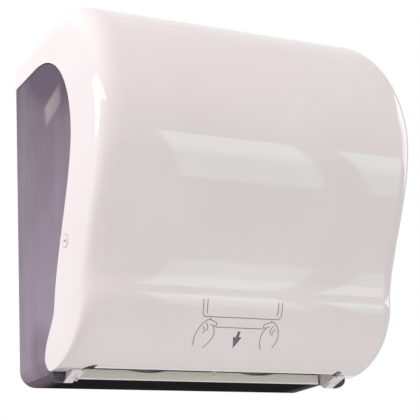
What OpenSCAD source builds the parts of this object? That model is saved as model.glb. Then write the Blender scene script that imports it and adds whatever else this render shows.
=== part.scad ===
// Wall dispenser for rolled paper towel: pulling the sheet turns a drum that cuts it.
// Depths are measured forward from the wall, heights from the casing's floor.

/* [Cover] */
// Width across the cover's sides
body_w = 330; // [318:1:360]
// Height of the cover's top above the casing's floor
body_h = 355; // [350:1:375]
// Greatest depth of the cover, at its belly
body_d = 242; // [234:1:256]
// Depth of the flat part of the top
top_d = 112; // [95:1:125]
// Height of the belly
belly_z = 222; // [210:1:235]
// Depth of the cover at its waist
waist_d = 186; // [182:1:196]
// Height of the waist
waist_z = 62; // [57:1:70]
// Depth of the lip in front of the paper slot
lip_d = 106; // [103:0.5:110]
// Height of the lip
lip_z = 2; // [1:0.5:3]
// Radius of the cover's edges along its top
edge_r = 24; // [20:1:27]
// Radius of the cover's upright front corners
corner_r = 17; // [14:1:22]
// Radius of the cover's corners at the lip
foot_r = 16; // [14.5:0.5:17.5]
// Wall of the cover
cover_t = 3; // [2.4:0.1:3.6]

/* [Cover curve] */
// Fullness of the shoulder between the top and the belly
shoulder_full = 0.515; // [0.45:0.005:0.58]
// Fullness of the underside of the belly
belly_full = 0.356; // [0.3:0.005:0.42]
// Fullness of the hollow above the waist
waist_full = 0.28; // [0.22:0.005:0.34]
// Forward lean of the waist, depth for each unit of height
waist_lean = 0.12; // [0.06:0.01:0.18]
// Fullness of the front below the waist
foot_full = 0.5; // [0.42:0.01:0.58]
// Fullness of the curl towards the lip
lip_full = 0.55; // [0.45:0.01:0.62]

/* [Rim between cover and casing] */
// Drop of the rim at the wall below the cover's top
rim_drop = 40.5; // [36:0.5:46]
// Depth of the rim's level stretch
rim_flat_d = 60; // [50:1:70]
// Distance of the rim behind the belly
rim_belly = 86; // [81:0.5:92]
// Distance of the rim behind the waist
rim_waist = 83; // [78:0.5:86]
// Height where the rim turns to its toe
rim_foot_z = 15; // [13:0.5:18]
// Fullness of the rim's upper bend
rim_full = 0.58; // [0.5:0.01:0.64]
// Fullness of the rim under the belly
rim_hang = 0.3; // [0.25:0.01:0.35]
// Reach of the cover's side behind the rounded edge at its toe
toe_reach = 15; // [13.5:0.5:16.5]
// Gap between the cover's rim and the casing's edge
rim_gap = 0.7; // [0.5:0.1:1]

/* [Casing] */
// Step from the cover's side in to the casing's side
casing_step = 1; // [0.6:0.1:1.4]
// Side clearance between cover and casing
cover_gap = 0.5; // [0.4:0.1:0.8]
// Thickness of the back plate
back_t = 3; // [2.6:0.1:4]
// Thickness of the floor
floor_t = 3; // [2.6:0.1:4]
// Radius of the casing's lower side edges
floor_r = 16; // [12:0.5:18]
// Thickness of the tongue that reaches inside the cover
tongue_t = 2.2; // [1.8:0.1:2.6]
// Reach of the tongue past the rim
tongue_reach = 8; // [5:0.5:10]
// Width of the tongue's root behind the rim
tongue_root = 6; // [4:0.5:8]
// Drop of the back plate's top edge below the inside of the cover
plate_drop = 5; // [3:0.5:8]

/* [Wall mount] */
// Height of the middle of the screw pattern above the floor
mount_z = 200; // [190:1:205]
// Distance of the wall screws from the cover's sides
mount_in = 25; // [23:1:30]
// Upright spacing of the wall screws
mount_h = 180; // [170:1:190]
// Radius of the wall screw holes
mount_r = 2.75; // [2.2:0.05:3.2]
// Radius of the bosses round the holes
boss_r = 8; // [6:0.5:9]
// Height of the bosses above the back plate
boss_h = 2; // [1:0.5:4]

/* [Cover hinge] */
// Distance of the hinge axis behind the lip
hinge_back = 26; // [25:0.5:27]
// Height of the hinge axis
hinge_z = -1; // [-1.5:0.5:0]
// Radius of the hinge pins
pin_r = 2.5; // [2:0.1:3]
// Radius of the knuckles round the pins
knuckle_r = 6.2; // [5.8:0.1:6.8]
// Distance of the hinge arms' inner faces from the cover's sides
arm_in = 25; // [24:0.5:28]
// Width of a hinge arm
arm_w = 9; // [8:0.1:10]
// Side gap between a hinge arm and its lug
lug_gap = 0.5; // [0.3:0.1:0.8]
// Thickness of a hinge arm's front end, twice over
arm_t = 3.8; // [3:0.1:4.5]

/* [Lock] */
// Distance of the lock's axis in front of the rim
lock_ahead = 14.34; // [13.5:0.01:16]
// Height of the lock's axis
lock_z = 116; // [112:1:120]
// Radius of the lock barrel
lock_r = 6; // [5:0.1:7]
// Length of the tongue from the lock's axis
bolt_l = 21; // [19:0.5:23]
// Width of the lock's tongue
bolt_w = 9; // [7:0.5:10]
// Thickness of the lock's tongue
bolt_t = 3; // [2:0.1:4]

/* [Chassis] */
// Distance of the cheeks' inner faces from the cover's sides
cheek_in = 47; // [45:0.5:48]
// Thickness of a cheek
cheek_t = 4; // [3:0.1:5]
// Height of the cheeks' lower edge
cheek_z = 10; // [9:0.5:14]
// Height of the cheeks' upper edge
cheek_top = 150; // [149:0.5:156]
// Width of the flange that is screwed to the back plate
flange_w = 18; // [14:0.5:20]
// Radius of the tie bars
tie_r = 4; // [3:0.1:5]
// Distance of the chute's ends from the cover's sides
chute_in = 31; // [29:0.5:35]
// Thickness of the chute
chute_t = 2.5; // [2:0.1:3]
// Height of the chute's front strip
chute_strip = 6.8; // [6.2:0.1:8]
// Height of the chute's rear wall
chute_h = 22; // [18:0.5:24]
// Gap between the chute's front strip and its rear wall
chute_set = 6; // [5:0.5:7]
// Depth of the chute's foot on the floor
chute_foot = 27; // [22:0.5:30]

/* [Drum] */
// Distance of the drum's axis behind the cover's waist
drum_back = 58; // [56:0.5:60]
// Height of the drum's axis
drum_z = 78; // [76:0.5:80]
// Radius of the drum
drum_r = 44; // [42:0.5:45]
// Wall of the drum
drum_t = 3.5; // [3:0.1:4]
// Gap between the drum's ends and the cheeks
drum_gap = 10; // [10:0.5:12]
// Thickness of the drum's end discs
disc_t = 6; // [4:0.5:8]
// Radius of the drum shaft
shaft_r = 5; // [4:0.1:6]
// Direction of the cutter's slot round the drum
slot_angle = 225; // [221:1:229]
// Width of the cutter's slot
slot_w = 5; // [4.4:0.1:6]
// Thickness of the rubber grip strips
strip_t = 1; // [0.6:0.1:1.4]
// Gap between the grip strips
strip_gap = 26; // [20:1:36]
// Radius of the hand wheel
wheel_r = 24; // [20:0.5:27]
// Width of the hand wheel
wheel_w = 15; // [12:0.5:17]

/* [Cutter] */
// Travel of the blade out of the drum
blade_throw = 11; // [9:0.5:11.5]
// Thickness of the blade
blade_t = 1; // [0.8:0.1:1.2]
// Drop of the blade's points below the drum's surface at rest
blade_drop = 2; // [1.5:0.1:3]
// Depth of the blade's teeth
tooth_h = 4; // [3:0.5:5]
// Pitch of the blade's teeth
tooth_pitch = 4; // [3.5:0.1:5]
// Distance of the blade carrier's inner edge from the drum's axis
carrier_in = 16; // [15:0.5:17]
// Height of the blade carrier
carrier_h = 10; // [9:0.5:10.5]
// Thickness of the blade carrier
carrier_t = 5; // [4:0.1:6]
// Radius of the cam follower
follower_r = 3; // [2.4:0.1:3.4]
// Direction of the middle of the cut
cut_angle = -20; // [-30:1:-10]

/* [Pinch roller] */
// Radius of the roller's tyres
tyre_r = 10; // [9:0.1:10.5]
// Radius of the roller's shaft
roller_shaft_r = 3; // [2.4:0.1:3.6]
// Paper gap between roller and drum
paper_gap = 0.4; // [0.3:0.05:0.6]
// Direction of the roller from the drum's axis, above level towards the wall
pinch_angle = 60; // [56:1:64]
// Distance of the yoke's pivot behind the drum's axis
yoke_back = 64; // [62:0.5:66]
// Height of the yoke's pivot above the drum's axis
yoke_rise = 60; // [58:0.5:62]
// Width of the yoke's arms
yoke_w = 14; // [13:0.5:16]
// Thickness of the yoke's arms
yoke_t = 3.5; // [3:0.1:4]
// Wire radius of the yoke springs
yoke_wire_r = 0.7; // [0.5:0.05:0.8]
// Turns of a yoke spring
yoke_turns = 6; // [4:1:7]

/* [Drive spring] */
// Radius of the crank
crank_r = 15; // [13:0.5:16]
// Radius of the crank disc
crank_disc_r = 22; // [20:0.5:24]
// Height of the spring's post above the drum's axis
post_rise = 98; // [94:1:102]
// Mean radius of the drive spring's turns
drive_r = 5.5; // [5:0.1:6]
// Wire radius of the drive spring
drive_wire_r = 0.9; // [0.7:0.05:1]
// Turns of the drive spring
drive_turns = 20; // [14:1:22]
// Wall of the spring housing
housing_t = 2; // [1.6:0.1:2.6]
// Depth of the spring housing across the cheek
housing_w = 24; // [23:0.5:28]

/* [Roll holder] */
// Depth of the roll's axis
roll_d = 112; // [108:1:116]
// Drop of the roll's axis below the cover's top
roll_drop = 120; // [115:1:125]
// Gap between the roll's ends and the planes of the cheeks
roll_gap = 15; // [14:1:18]
// Radius of the hub's plug in the roll's core
plug_r = 18.5; // [16:0.5:20]
// Length of the hub's plug
plug_l = 18; // [14:0.5:20]
// Radius of the hub's flange
flange_r = 30; // [26:0.5:32]
// Thickness of the hub's flange
flange_t = 3; // [2:0.1:4]
// Thickness of a roll arm
roll_arm_t = 5; // [4:0.1:6]
// Half height of a roll arm
roll_arm_h = 12; // [10:0.5:13]
// Depth of the roll arms' pivots
pivot_d = 14; // [13:0.5:16]
// Radius of the hub axles
axle_r = 3; // [2.4:0.1:3.6]

/* [Screws] */
// Radius of the screw shanks
screw_r = 2; // [1.5:0.1:2.2]
// Radius of the screw heads
head_r = 3.8; // [3:0.1:4]
// Height of the screw heads
head_h = 2.4; // [1.8:0.1:2.8]

/* [Fits] */
// Radial clearance of a running fit
run_fit = 0.06; // [0.03:0.01:0.09]
// End gap between parts that turn beside each other
end_gap = 0.5; // [0.3:0.1:0.8]

/* [Hidden] */
$fn = 64;

// Gap between the cover's rear edge and the wall
wall_gap = 0.5;
// Distance of the screws' tips from the far face of the casing
tip_gap = 0.5;
// Steps along each curve of the cover, and round its edges
curve_steps = 12;
edge_steps = 6;
// Share of the last curve's steps that the rim spends above its toe
toe_split = 7 / 12;
// Set-back of the rim's toe from the end of the rounded edge, its fullness, and its rise above the lip
toe_set = 2.2;
toe_full = 0.3;
toe_rise = 1.6;
// Handles of the rim's lower curves as shares of their height, and the rim's lean at the waist
rim_foot_full = 0.4;
rim_lean = 0.146;

half_w = body_w / 2;
half_in = half_w - cover_t;
mount_w = body_w - 2 * mount_in;
arm_x = half_w - arm_in;
cheek_x = half_w - cheek_in;
chute_x = half_w - chute_in;
drum_w = 2 * (cheek_x - drum_gap);
roll_w = 2 * (cheek_x - roll_gap);
strip_pitch = drum_w / 3;
strip_w = strip_pitch - strip_gap;
rim_z = body_h - rim_drop;
rim_belly_d = body_d - rim_belly;
rim_waist_d = waist_d - rim_waist;
hinge_d = lip_d - hinge_back;
drum_d = waist_d - drum_back;
yoke_d = drum_d - yoke_back;
yoke_z = drum_z + yoke_rise;
roll_z = body_h - roll_drop;
casing_half = half_w - casing_step;
casing_in = half_in - cover_gap;
casing_wall = casing_half - casing_in;
toe_d = lip_d - foot_r - toe_set;
rim_foot_d = lip_d - foot_r - toe_reach;
floor_d = rim_foot_d - rim_gap;

drum_at = [drum_d, drum_z];
hinge_at = [hinge_d, hinge_z];
roll_at = [roll_d, roll_z];
yoke_at = [yoke_d, yoke_z];

function bez(p, t) =
    pow(1 - t, 3) * p[0] + 3 * t * pow(1 - t, 2) * p[1] + 3 * t * t * (1 - t) * p[2] + pow(t, 3) * p[3];
function bez_dir(p, t) =
    pow(1 - t, 2) * (p[1] - p[0]) + 2 * t * (1 - t) * (p[2] - p[1]) + t * t * (p[3] - p[2]);
function left_of(v) = [-v[1], v[0]] / norm(v);
function unit(v) = v / norm(v);
function mix(a, b, t) = a + t * (b - a);
function around(middle, half) = [middle - half, middle + half];

// Outer profile of the cover from the wall forward over the top and down to the lip, as [depth, height].
shoulder_curve = [
    [top_d, body_h],
    [mix(top_d, body_d, shoulder_full), body_h],
    [body_d, mix(belly_z, body_h, shoulder_full)],
    [body_d, belly_z]
];
waist_handle = waist_full * (belly_z - waist_z);
foot_handle = foot_full * (waist_z - lip_z);
belly_curve = [
    [body_d, belly_z],
    [body_d, mix(belly_z, waist_z, belly_full)],
    [waist_d + waist_lean * waist_handle, waist_z + waist_handle],
    [waist_d, waist_z]
];
foot_curve = [
    [waist_d, waist_z],
    [waist_d - waist_lean * foot_handle, waist_z - foot_handle],
    [mix(lip_d, waist_d, lip_full), lip_z],
    [lip_d, lip_z]
];

// Rows of the cover as [point, outward normal]
function curve_rows(p, first) =
    [for (i = [first : curve_steps]) [bez(p, i / curve_steps), left_of(bez_dir(p, i / curve_steps))]];
cover_rows = concat(
    [[[wall_gap, body_h], [0, 1]]],
    curve_rows(shoulder_curve, 0),
    curve_rows(belly_curve, 1),
    curve_rows(foot_curve, 1)
);

// Rim of the cover's side, row for row with the profile
rim_shoulder = [
    [rim_flat_d, rim_z],
    [mix(rim_flat_d, rim_belly_d, rim_full), rim_z],
    [rim_belly_d, mix(belly_z, rim_z, rim_full)],
    [rim_belly_d, belly_z]
];
hang_handle = rim_hang * (belly_z - waist_z);
rim_foot_handle = rim_foot_full * (waist_z - rim_foot_z);
rim_hanging = [
    [rim_belly_d, belly_z],
    [rim_belly_d, belly_z - hang_handle],
    [rim_waist_d + rim_lean * hang_handle, waist_z + hang_handle],
    [rim_waist_d, waist_z]
];
rim_foot = [
    [rim_waist_d, waist_z],
    [rim_waist_d - rim_lean * rim_foot_handle, waist_z - rim_foot_handle],
    [rim_foot_d, rim_foot_z + rim_foot_handle],
    [rim_foot_d, rim_foot_z]
];
rim_toe = [
    [rim_foot_d, rim_foot_z],
    [rim_foot_d, mix(rim_foot_z, lip_z, toe_full)],
    [mix(rim_foot_d, toe_d, 1 / 2), lip_z + toe_rise],
    [toe_d, lip_z]
];
toe_steps = round(curve_steps * (1 - toe_split));
foot_steps = curve_steps - toe_steps;
rim_main = concat(
    [[wall_gap, rim_z]],
    [for (i = [0 : curve_steps]) bez(rim_shoulder, i / curve_steps)],
    [for (i = [1 : curve_steps]) bez(rim_hanging, i / curve_steps)],
    [for (i = [1 : foot_steps]) bez(rim_foot, i / foot_steps)]
);
rim_rows = concat(rim_main, [for (i = [1 : toe_steps]) bez(rim_toe, i / toe_steps)]);
lock_d = lookup(lock_z, [for (p = rim_main) [p[1], p[0]]]) + lock_ahead;
lock_at = [lock_d, lock_z];

// Rim moved by a distance towards the cover, or back when it is negative
function rim_moved(d) = [
    for (i = [0 : len(rim_main) - 1])
        rim_main[i] + d * left_of(rim_main[min(i + 1, len(rim_main) - 1)] - rim_main[max(i - 1, 0)])
];

// Frame of the whole part: the middle of the wall screws is the origin.
module on_wall() {
    translate([0, 0, -mount_z])
        children();
}

// Prism along X with its outline given as [depth, height]
module depth_prism(x0, x1, outline) {
    translate([x0, 0, 0])
        rotate([90, 0, 90])
            linear_extrude(x1 - x0)
                polygon([for (p = outline) [-p[0], p[1]]]);
}

// Prism along the depth with its outline drawn in width and height
module front_prism(d0, d1) {
    translate([0, -d0, 0])
        rotate([90, 0, 0])
            linear_extrude(d1 - d0)
                children();
}

// Round bar along X at [depth, height]
module rod(x0, x1, r, at) {
    translate([x0, -at[0], at[1]])
        rotate([0, 90, 0])
            cylinder(h = x1 - x0, r = r);
}

module both_sides() {
    children();
    mirror([1, 0, 0])
        children();
}

// Outline of a straight bar between two [depth, height] points
function slat(a, b, w) =
    let (s = left_of(b - a) * w / 2)
    [a + s, b + s, b - s, a - s];

// Screw with its head above z = 0 and a cross recess
module screw(length) {
    recess_w = head_r / 3;
    recess_l = head_r * 1.2;
    recess_h = head_h / 2;
    difference() {
        union() {
            cylinder(h = head_h, r = head_r);
            translate([0, 0, -length])
                cylinder(h = length, r = screw_r);
        }
        for (turn = [0, 90])
            rotate([0, 0, turn])
                translate([-recess_l / 2, -recess_w / 2, head_h - recess_h])
                    cube([recess_l, recess_w, 2 * recess_h]);
    }
}

// Screw driven towards the wall, its head seated at a depth
module wall_screw(x, d, z, length) {
    translate([x, -d, z])
        rotate([90, 0, 0])
            screw(length);
}

module wall_hole(x, z, r, d1) {
    translate([x, 1, z])
        rotate([90, 0, 0])
            cylinder(h = d1 + 1, r = r);
}

// Tube along a path, with the side of its rings set by a direction that the path stays across
tube_sides = 6;
function tube_ring(path, i, r, across) =
    let (
        ahead = path[min(i + 1, len(path) - 1)] - path[max(i - 1, 0)],
        t = unit(ahead),
        b = unit(across - (across * t) * t),
        n = cross(b, t)
    )
    [for (k = [0 : tube_sides - 1])
        path[i] + r * (cos(360 * k / tube_sides) * n + sin(360 * k / tube_sides) * b)];
function quad(a, b, c, d) = [[a, b, c], [a, c, d]];
module tube(path, r, across) {
    last = len(path) - 1;
    points = [for (i = [0 : last]) each tube_ring(path, i, r, across)];
    skin = [
        for (i = [0 : last - 1])
            for (k = [0 : tube_sides - 1])
                let (next = (k + 1) % tube_sides)
                each quad((i + 1) * tube_sides + k, (i + 1) * tube_sides + next,
                    i * tube_sides + next, i * tube_sides + k)
    ];
    start_cap = [for (k = [1 : tube_sides - 2]) [0, k, k + 1]];
    end_cap = [for (k = [1 : tube_sides - 2]) [0, k + 1, k] + last * tube_sides * [1, 1, 1]];
    polyhedron(points, concat(skin, start_cap, end_cap));
}

// Least gap of a tube to itself, between points at least most of a turn apart
rings_a_turn = 8;
function self_gap(path, r) =
    min([for (i = [0 : len(path) - 1]) for (j = [i + rings_a_turn - 2 : 1 : len(path) - 1])
        norm(path[i] - path[j])]) - 2 * r;

// Casing
casing_side = concat(
    [[0, 0], [0, rim_z - rim_gap]],
    rim_moved(-rim_gap),
    [[floor_d, 0]]
);
tongue_outer = rim_moved(tongue_reach);
tongue_inner = rim_moved(-tongue_root);
tongue_last = len(rim_main) - 1;
tongue_band = concat(tongue_outer, [for (i = [0 : tongue_last]) tongue_inner[tongue_last - i]]);
lug_x = arm_x + arm_w + lug_gap;
lug_rear = 18;
lug_top = 11;
lug_nose = 2;
lug_chin = 3;
knuckle_room = 2.5;
pin_proud = 1.5;
lug_round = 9;
pin_end = casing_in - lug_round / 2;
sleeve_r = lock_r + 3.5;
sleeve_room = 1.5;

module tub_outline(half, z0, z1, r) {
    translate([-half, z0 + r])
        square([2 * half, z1 - z0 - r]);
    translate([-half + r, z0])
        square([2 * (half - r), 2 * r]);
    for (side = [-1, 1])
        translate([side * (half - r), z0 + r])
            circle(r);
}

module plate_outline(half, z0, z1, r) {
    translate([0, z0 + z1])
        mirror([0, 1])
            tub_outline(half, z0, z1, r);
}

module casing_tub() {
    difference() {
        intersection() {
            front_prism(0, body_d)
                tub_outline(casing_half, 0, rim_z, floor_r);
            depth_prism(-casing_half, casing_half, casing_side);
        }
        front_prism(back_t, body_d)
            tub_outline(casing_in, floor_t, body_h, floor_r - casing_wall);
    }
}

// Lug of the cover's hinge: a neck in the casing's rounded corner, and a knuckle in front of it
module hinge_lug() {
    intersection() {
        depth_prism(lug_x, casing_in, [
            [hinge_d - lug_rear, 0],
            [hinge_d - lug_rear, lug_top],
            [hinge_d, lug_top],
            [hinge_d, 0]
        ]);
        front_prism(0, body_d)
            tub_outline(casing_half, 0, rim_z, floor_r);
    }
    intersection() {
        union() {
            depth_prism(lug_x, casing_in, [
                [hinge_d - lug_chin, lug_top],
                [hinge_d + lug_nose, lug_top],
                [hinge_d + knuckle_r, lug_top / 2],
                [hinge_d + knuckle_r, hinge_z],
                [hinge_d - knuckle_r, hinge_z],
                [hinge_d - knuckle_r, 0]
            ]);
            rod(lug_x, casing_in, knuckle_r, hinge_at);
        }
        front_prism(0, body_d)
            tub_outline(casing_in, hinge_z - knuckle_r, rim_z, lug_round);
    }
}

module rear_casing() {
    plate_top = body_h - cover_t - plate_drop;
    color([0.45, 0.40, 0.46, 0.8]) on_wall() difference() {
        union() {
            casing_tub();
            front_prism(0, back_t)
                plate_outline(casing_in - tongue_t, rim_z - 2 * edge_r, plate_top, edge_r);
            both_sides()
                depth_prism(casing_in - tongue_t, casing_in, tongue_band);
            both_sides()
                hinge_lug();
            for (x = around(0, mount_w / 2))
                for (z = around(mount_z, mount_h / 2))
                    translate([x, -back_t, z])
                        rotate([90, 0, 0])
                            cylinder(h = boss_h, r = boss_r);
        }
        for (x = around(0, mount_w / 2))
            for (z = around(mount_z, mount_h / 2))
                wall_hole(x, z, mount_r, back_t + boss_h + 1);
        for (x = around(0, flange_screw_x))
            for (z = flange_screw_z)
                wall_hole(x, z, screw_r, back_t + 1);
        for (x = around(0, arm_pivot_x))
            for (z = around(roll_z, bracket_screw_z))
                wall_hole(x, z, screw_r, back_t + 1);
        for (x = chute_screw_x)
            translate([x, -chute_screw_d, -1])
                cylinder(h = floor_t + 2, r = screw_r);
        both_sides()
            depth_prism(arm_x - lug_gap, lug_x, [
                [hinge_d - knuckle_r - knuckle_room, -1],
                [hinge_d - knuckle_r - knuckle_room, floor_t + 1],
                [floor_d + 1, floor_t + 1],
                [floor_d + 1, -1]
            ]);
        both_sides()
            rod(lug_x - 1, pin_end, pin_r, hinge_at);
        rod(-casing_in, -casing_in + tongue_t + 1, sleeve_r + sleeve_room, lock_at);
    }
}

module hinge_pins() {
    color("silver") on_wall()
        both_sides()
            rod(arm_x - pin_proud, pin_end, pin_r, hinge_at);
}

// Chassis
flange_t_back = 4;
flange_screw_x = cheek_x - flange_w / 2;
flange_end = [6, 26];
flange_screw_in = 14;
flange_z0 = cheek_z + flange_end[0];
flange_z1 = cheek_top - flange_end[1];
flange_screw_z = [flange_z0 + flange_screw_in, flange_z1 - flange_screw_in];
tie_ahead = [28, 56];
tie_low = [27, 30];
tie_front = drum_at + tie_ahead;
tie_rear_low = [back_t, cheek_z] + tie_low;
leg_room = 2;
tie_behind = 20;
tie_rear_high = yoke_at - [tie_behind, leg_room];
tie_points = [tie_front, tie_rear_low, tie_rear_high];
cheek_edge = 10;
cheek_notch = [14, 5];
cheek_over = 28;
cheek_bow = [10, 32];
cheek_heel = 20;
bush_r = shaft_r + 4;
bush_rim_r = bush_r + 3;
clutch_r = shaft_r + 6;
chute_d = floor_d + rim_gap;

module cheek_blank() {
    depth_prism(cheek_x, cheek_x + cheek_t, [
        [back_t, cheek_z],
        [chute_d - cheek_notch[0], cheek_z],
        [chute_d - cheek_notch[1], cheek_z + cheek_over],
        [drum_d + cheek_bow[0], cheek_z + cheek_over],
        [drum_d + cheek_bow[1], drum_z - cheek_heel],
        [tie_front[0] + cheek_edge, drum_z],
        [tie_front[0] + cheek_edge, tie_front[1] + cheek_edge],
        [tie_rear_high[0], cheek_top],
        [back_t, cheek_top - cheek_heel]
    ]);
    depth_prism(cheek_x - flange_w, cheek_x + cheek_t, [
        [back_t, flange_z0],
        [back_t, flange_z1],
        [back_t + flange_t_back, flange_z1],
        [back_t + flange_t_back, flange_z0]
    ]);
}

module cheek(bearing_r) {
    difference() {
        cheek_blank();
        rod(cheek_x - 1, cheek_x + cheek_t + 1, bearing_r, drum_at);
        rod(cheek_x - 1, cheek_x + cheek_t + 1, roller_shaft_r, yoke_at);
        for (p = tie_points)
            rod(cheek_x - 1, cheek_x + cheek_t + 1, tie_r, p);
        for (z = flange_screw_z)
            wall_hole(flange_screw_x, z, screw_r, back_t + flange_t_back + 1);
    }
}

module left_cheek() {
    color("dimgray") on_wall()
        mirror([1, 0, 0])
            cheek(bush_r);
}

module right_cheek() {
    color("dimgray") on_wall()
        cheek(clutch_r);
}

module tie_bars() {
    color("silver") on_wall()
        for (p = tie_points)
            rod(-cheek_x - cheek_t, cheek_x + cheek_t, tie_r, p);
}

module cheek_screws() {
    color("silver") on_wall()
        for (x = around(0, flange_screw_x))
            for (z = flange_screw_z)
                wall_screw(x, back_t + flange_t_back, z, back_t + flange_t_back - tip_gap);
}

// Paper chute: a strip below the slot and a wall behind it, on a foot that stands on the casing's floor
chute_screw_d = floor_d - chute_foot / 2;
chute_screw_in = 36;
chute_screw_x = [-1, -1 / 3, 1 / 3, 1] * (chute_x - chute_screw_in);
chute_drop = 1.5;
chute_wall_d = chute_d - chute_set;
module paper_chute() {
    color("whitesmoke") on_wall() difference() {
        union() {
            depth_prism(-chute_x, chute_x, [
                [chute_d, floor_t],
                [chute_d, -chute_drop],
                [chute_d + chute_t, -chute_drop],
                [chute_d + chute_t, chute_strip],
                [chute_d, chute_strip],
                [chute_d, floor_t + chute_t],
                [chute_wall_d, floor_t + chute_t],
                [chute_wall_d, chute_h],
                [chute_wall_d - chute_t, chute_h],
                [chute_wall_d - chute_t, floor_t + chute_t],
                [chute_d - chute_foot, floor_t + chute_t],
                [chute_d - chute_foot, floor_t]
            ]);
            rod(-chute_x, chute_x, chute_t / 2, [chute_d + chute_t / 2, -chute_drop]);
        }
        for (x = chute_screw_x)
            translate([x, -chute_screw_d, floor_t - 1])
                cylinder(h = chute_t + 2, r = screw_r);
    }
}

module chute_screws() {
    color("silver") on_wall()
        for (x = chute_screw_x)
            translate([x, -chute_screw_d, floor_t + chute_t])
                screw(floor_t + chute_t - tip_gap);
}

// Bearings of the drum
bush_flange_t = 1.5;
module left_bush() {
    color("ivory") on_wall()
        difference() {
            union() {
                rod(-cheek_x - cheek_t, -cheek_x, bush_r, drum_at);
                rod(-cheek_x, -cheek_x + bush_flange_t, bush_rim_r, drum_at);
            }
            rod(-cheek_x - cheek_t - 1, -cheek_x + bush_flange_t + 1, shaft_r + run_fit, drum_at);
        }
}

module one_way_clutch() {
    color("gray") on_wall()
        difference() {
            rod(cheek_x - bush_flange_t, cheek_x + cheek_t, clutch_r, drum_at);
            rod(cheek_x - bush_flange_t - 1, cheek_x + cheek_t + 1, shaft_r + run_fit, drum_at);
        }
}

// Fixed cam: a groove round the drum's axis that swells outwards where the cut is made
disc_x = drum_w / 2 - 2;
cam_t = 3;
cam_track = 3;
follower_home = carrier_in + carrier_h / 2;
follower_l = cheek_x - cam_t - cam_track - end_gap - disc_x;
cam_wall = 2.5;
cam_slack = 0.3;
cam_spread = 45;
cam_points = 72;
function cam_rise(angle) =
    let (off = abs((angle - cut_angle + 540) % 360 - 180))
    off > cam_spread ? 0 : pow(cos(90 * off / cam_spread), 2);
function cam_path(shift) = [
    for (i = [0 : cam_points - 1])
        let (a = 360 * i / cam_points)
        (follower_home + blade_throw * cam_rise(a) + shift) * [cos(a), sin(a)]
];

module cam_wall_ring(inner, outer) {
    difference() {
        polygon(cam_path(outer));
        polygon(cam_path(inner));
    }
}

module cam_plate() {
    groove = follower_r + cam_slack;
    color("ivory") on_wall()
        translate([-cheek_x, -drum_d, drum_z])
            rotate([90, 0, 90]) {
                linear_extrude(cam_t)
                    difference() {
                        polygon(cam_path(groove + cam_wall));
                        circle(bush_rim_r + end_gap);
                    }
                translate([0, 0, cam_t])
                    linear_extrude(cam_track) {
                        cam_wall_ring(groove, groove + cam_wall);
                        cam_wall_ring(-groove - cam_wall, -groove);
                    }
            }
}

// Drum. Its own frame has X along the axis, Y out through the cutter's slot and Z round the drum.
module drum_frame() {
    on_wall()
        translate([0, -drum_d, drum_z])
            rotate([slot_angle, 0, 0])
                children();
}

module drum_prism(x0, x1) {
    translate([x0, 0, 0])
        rotate([90, 0, 90])
            linear_extrude(x1 - x0)
                children();
}

strip_at = [-1, 0, 1] * strip_pitch;
strip_proud = 0.1;
strip_back = 2;

module slot_cut(w) {
    translate([0, -w / 2])
        square([2 * drum_r, w]);
}

module drum_half(side) {
    difference() {
        drum_prism(-drum_w / 2, drum_w / 2)
            intersection() {
                difference() {
                    circle(drum_r);
                    circle(drum_r - drum_t);
                    slot_cut(slot_w);
                }
                translate([-drum_r, side > 0 ? 0 : -drum_r])
                    square([2 * drum_r, drum_r]);
            }
        for (x = strip_at)
            drum_prism(x - strip_w / 2, x + strip_w / 2)
                difference() {
                    circle(drum_r + 1);
                    circle(drum_r - strip_t);
                }
    }
}

module drum_rear_half() {
    color("dimgray") drum_frame()
        drum_half(1);
}

module drum_front_half() {
    color("gray") drum_frame()
        drum_half(-1);
}

module grip_strips() {
    color("black") drum_frame()
        for (x = strip_at)
            drum_prism(x - strip_w / 2, x + strip_w / 2)
                difference() {
                    circle(drum_r + strip_proud);
                    circle(drum_r - strip_t);
                    slot_cut(slot_w + 2 * strip_back);
                }
}

// End disc with a radial guide for the blade carrier
module drum_end() {
    guide_in = carrier_in - 1;
    guide_out = carrier_in + carrier_h + blade_throw + 1;
    drum_prism(disc_x - disc_t, disc_x)
        difference() {
            circle(drum_r - drum_t);
            circle(shaft_r);
            translate([guide_in, -carrier_t - run_fit])
                square([guide_out - guide_in, carrier_t + 2 * run_fit]);
        }
}

module left_drum_end() {
    color("gainsboro") drum_frame()
        mirror([1, 0, 0])
            drum_end();
}

module right_drum_end() {
    color("gainsboro") drum_frame()
        drum_end();
}

wheel_x = cheek_x + cheek_t + 4;
crank_x = cheek_x + cheek_t + housing_t + 1;
crank_t = 4;
module drum_shaft() {
    color("silver") on_wall()
        rod(-wheel_x - wheel_w, crank_x + crank_t, shaft_r, drum_at);
}

clip_t = 1;
clip_r = shaft_r + 2.5;
clip_x = cheek_x - bush_flange_t - end_gap - clip_t;
module shaft_clips() {
    color("silver") on_wall()
        both_sides()
            difference() {
                rod(clip_x, clip_x + clip_t, clip_r, drum_at);
                rod(clip_x - 1, clip_x + clip_t + 1, shaft_r, drum_at);
            }
}

module hand_wheel() {
    flutes = 16;
    flute_r = 3;
    color("mediumseagreen") on_wall()
        difference() {
            rod(-wheel_x - wheel_w, -wheel_x, wheel_r, drum_at);
            rod(-wheel_x - wheel_w - 1, -wheel_x + 1, shaft_r, drum_at);
            for (i = [0 : flutes - 1])
                rod(-wheel_x - wheel_w - 1, -wheel_x - 3, flute_r,
                    drum_at + (wheel_r + flute_r / 2) * [cos(360 * i / flutes), sin(360 * i / flutes)]);
        }
}

// Cutter
blade_half = disc_x - disc_t - 2;
blade_tip = drum_r - blade_drop;
blade_root = carrier_in + 2;
blade_screw_pitch = 3 / 7 * blade_half;
blade_screw_r = 1.5;
blade_screw_y = carrier_in + carrier_h / 2 + 1;

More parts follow.
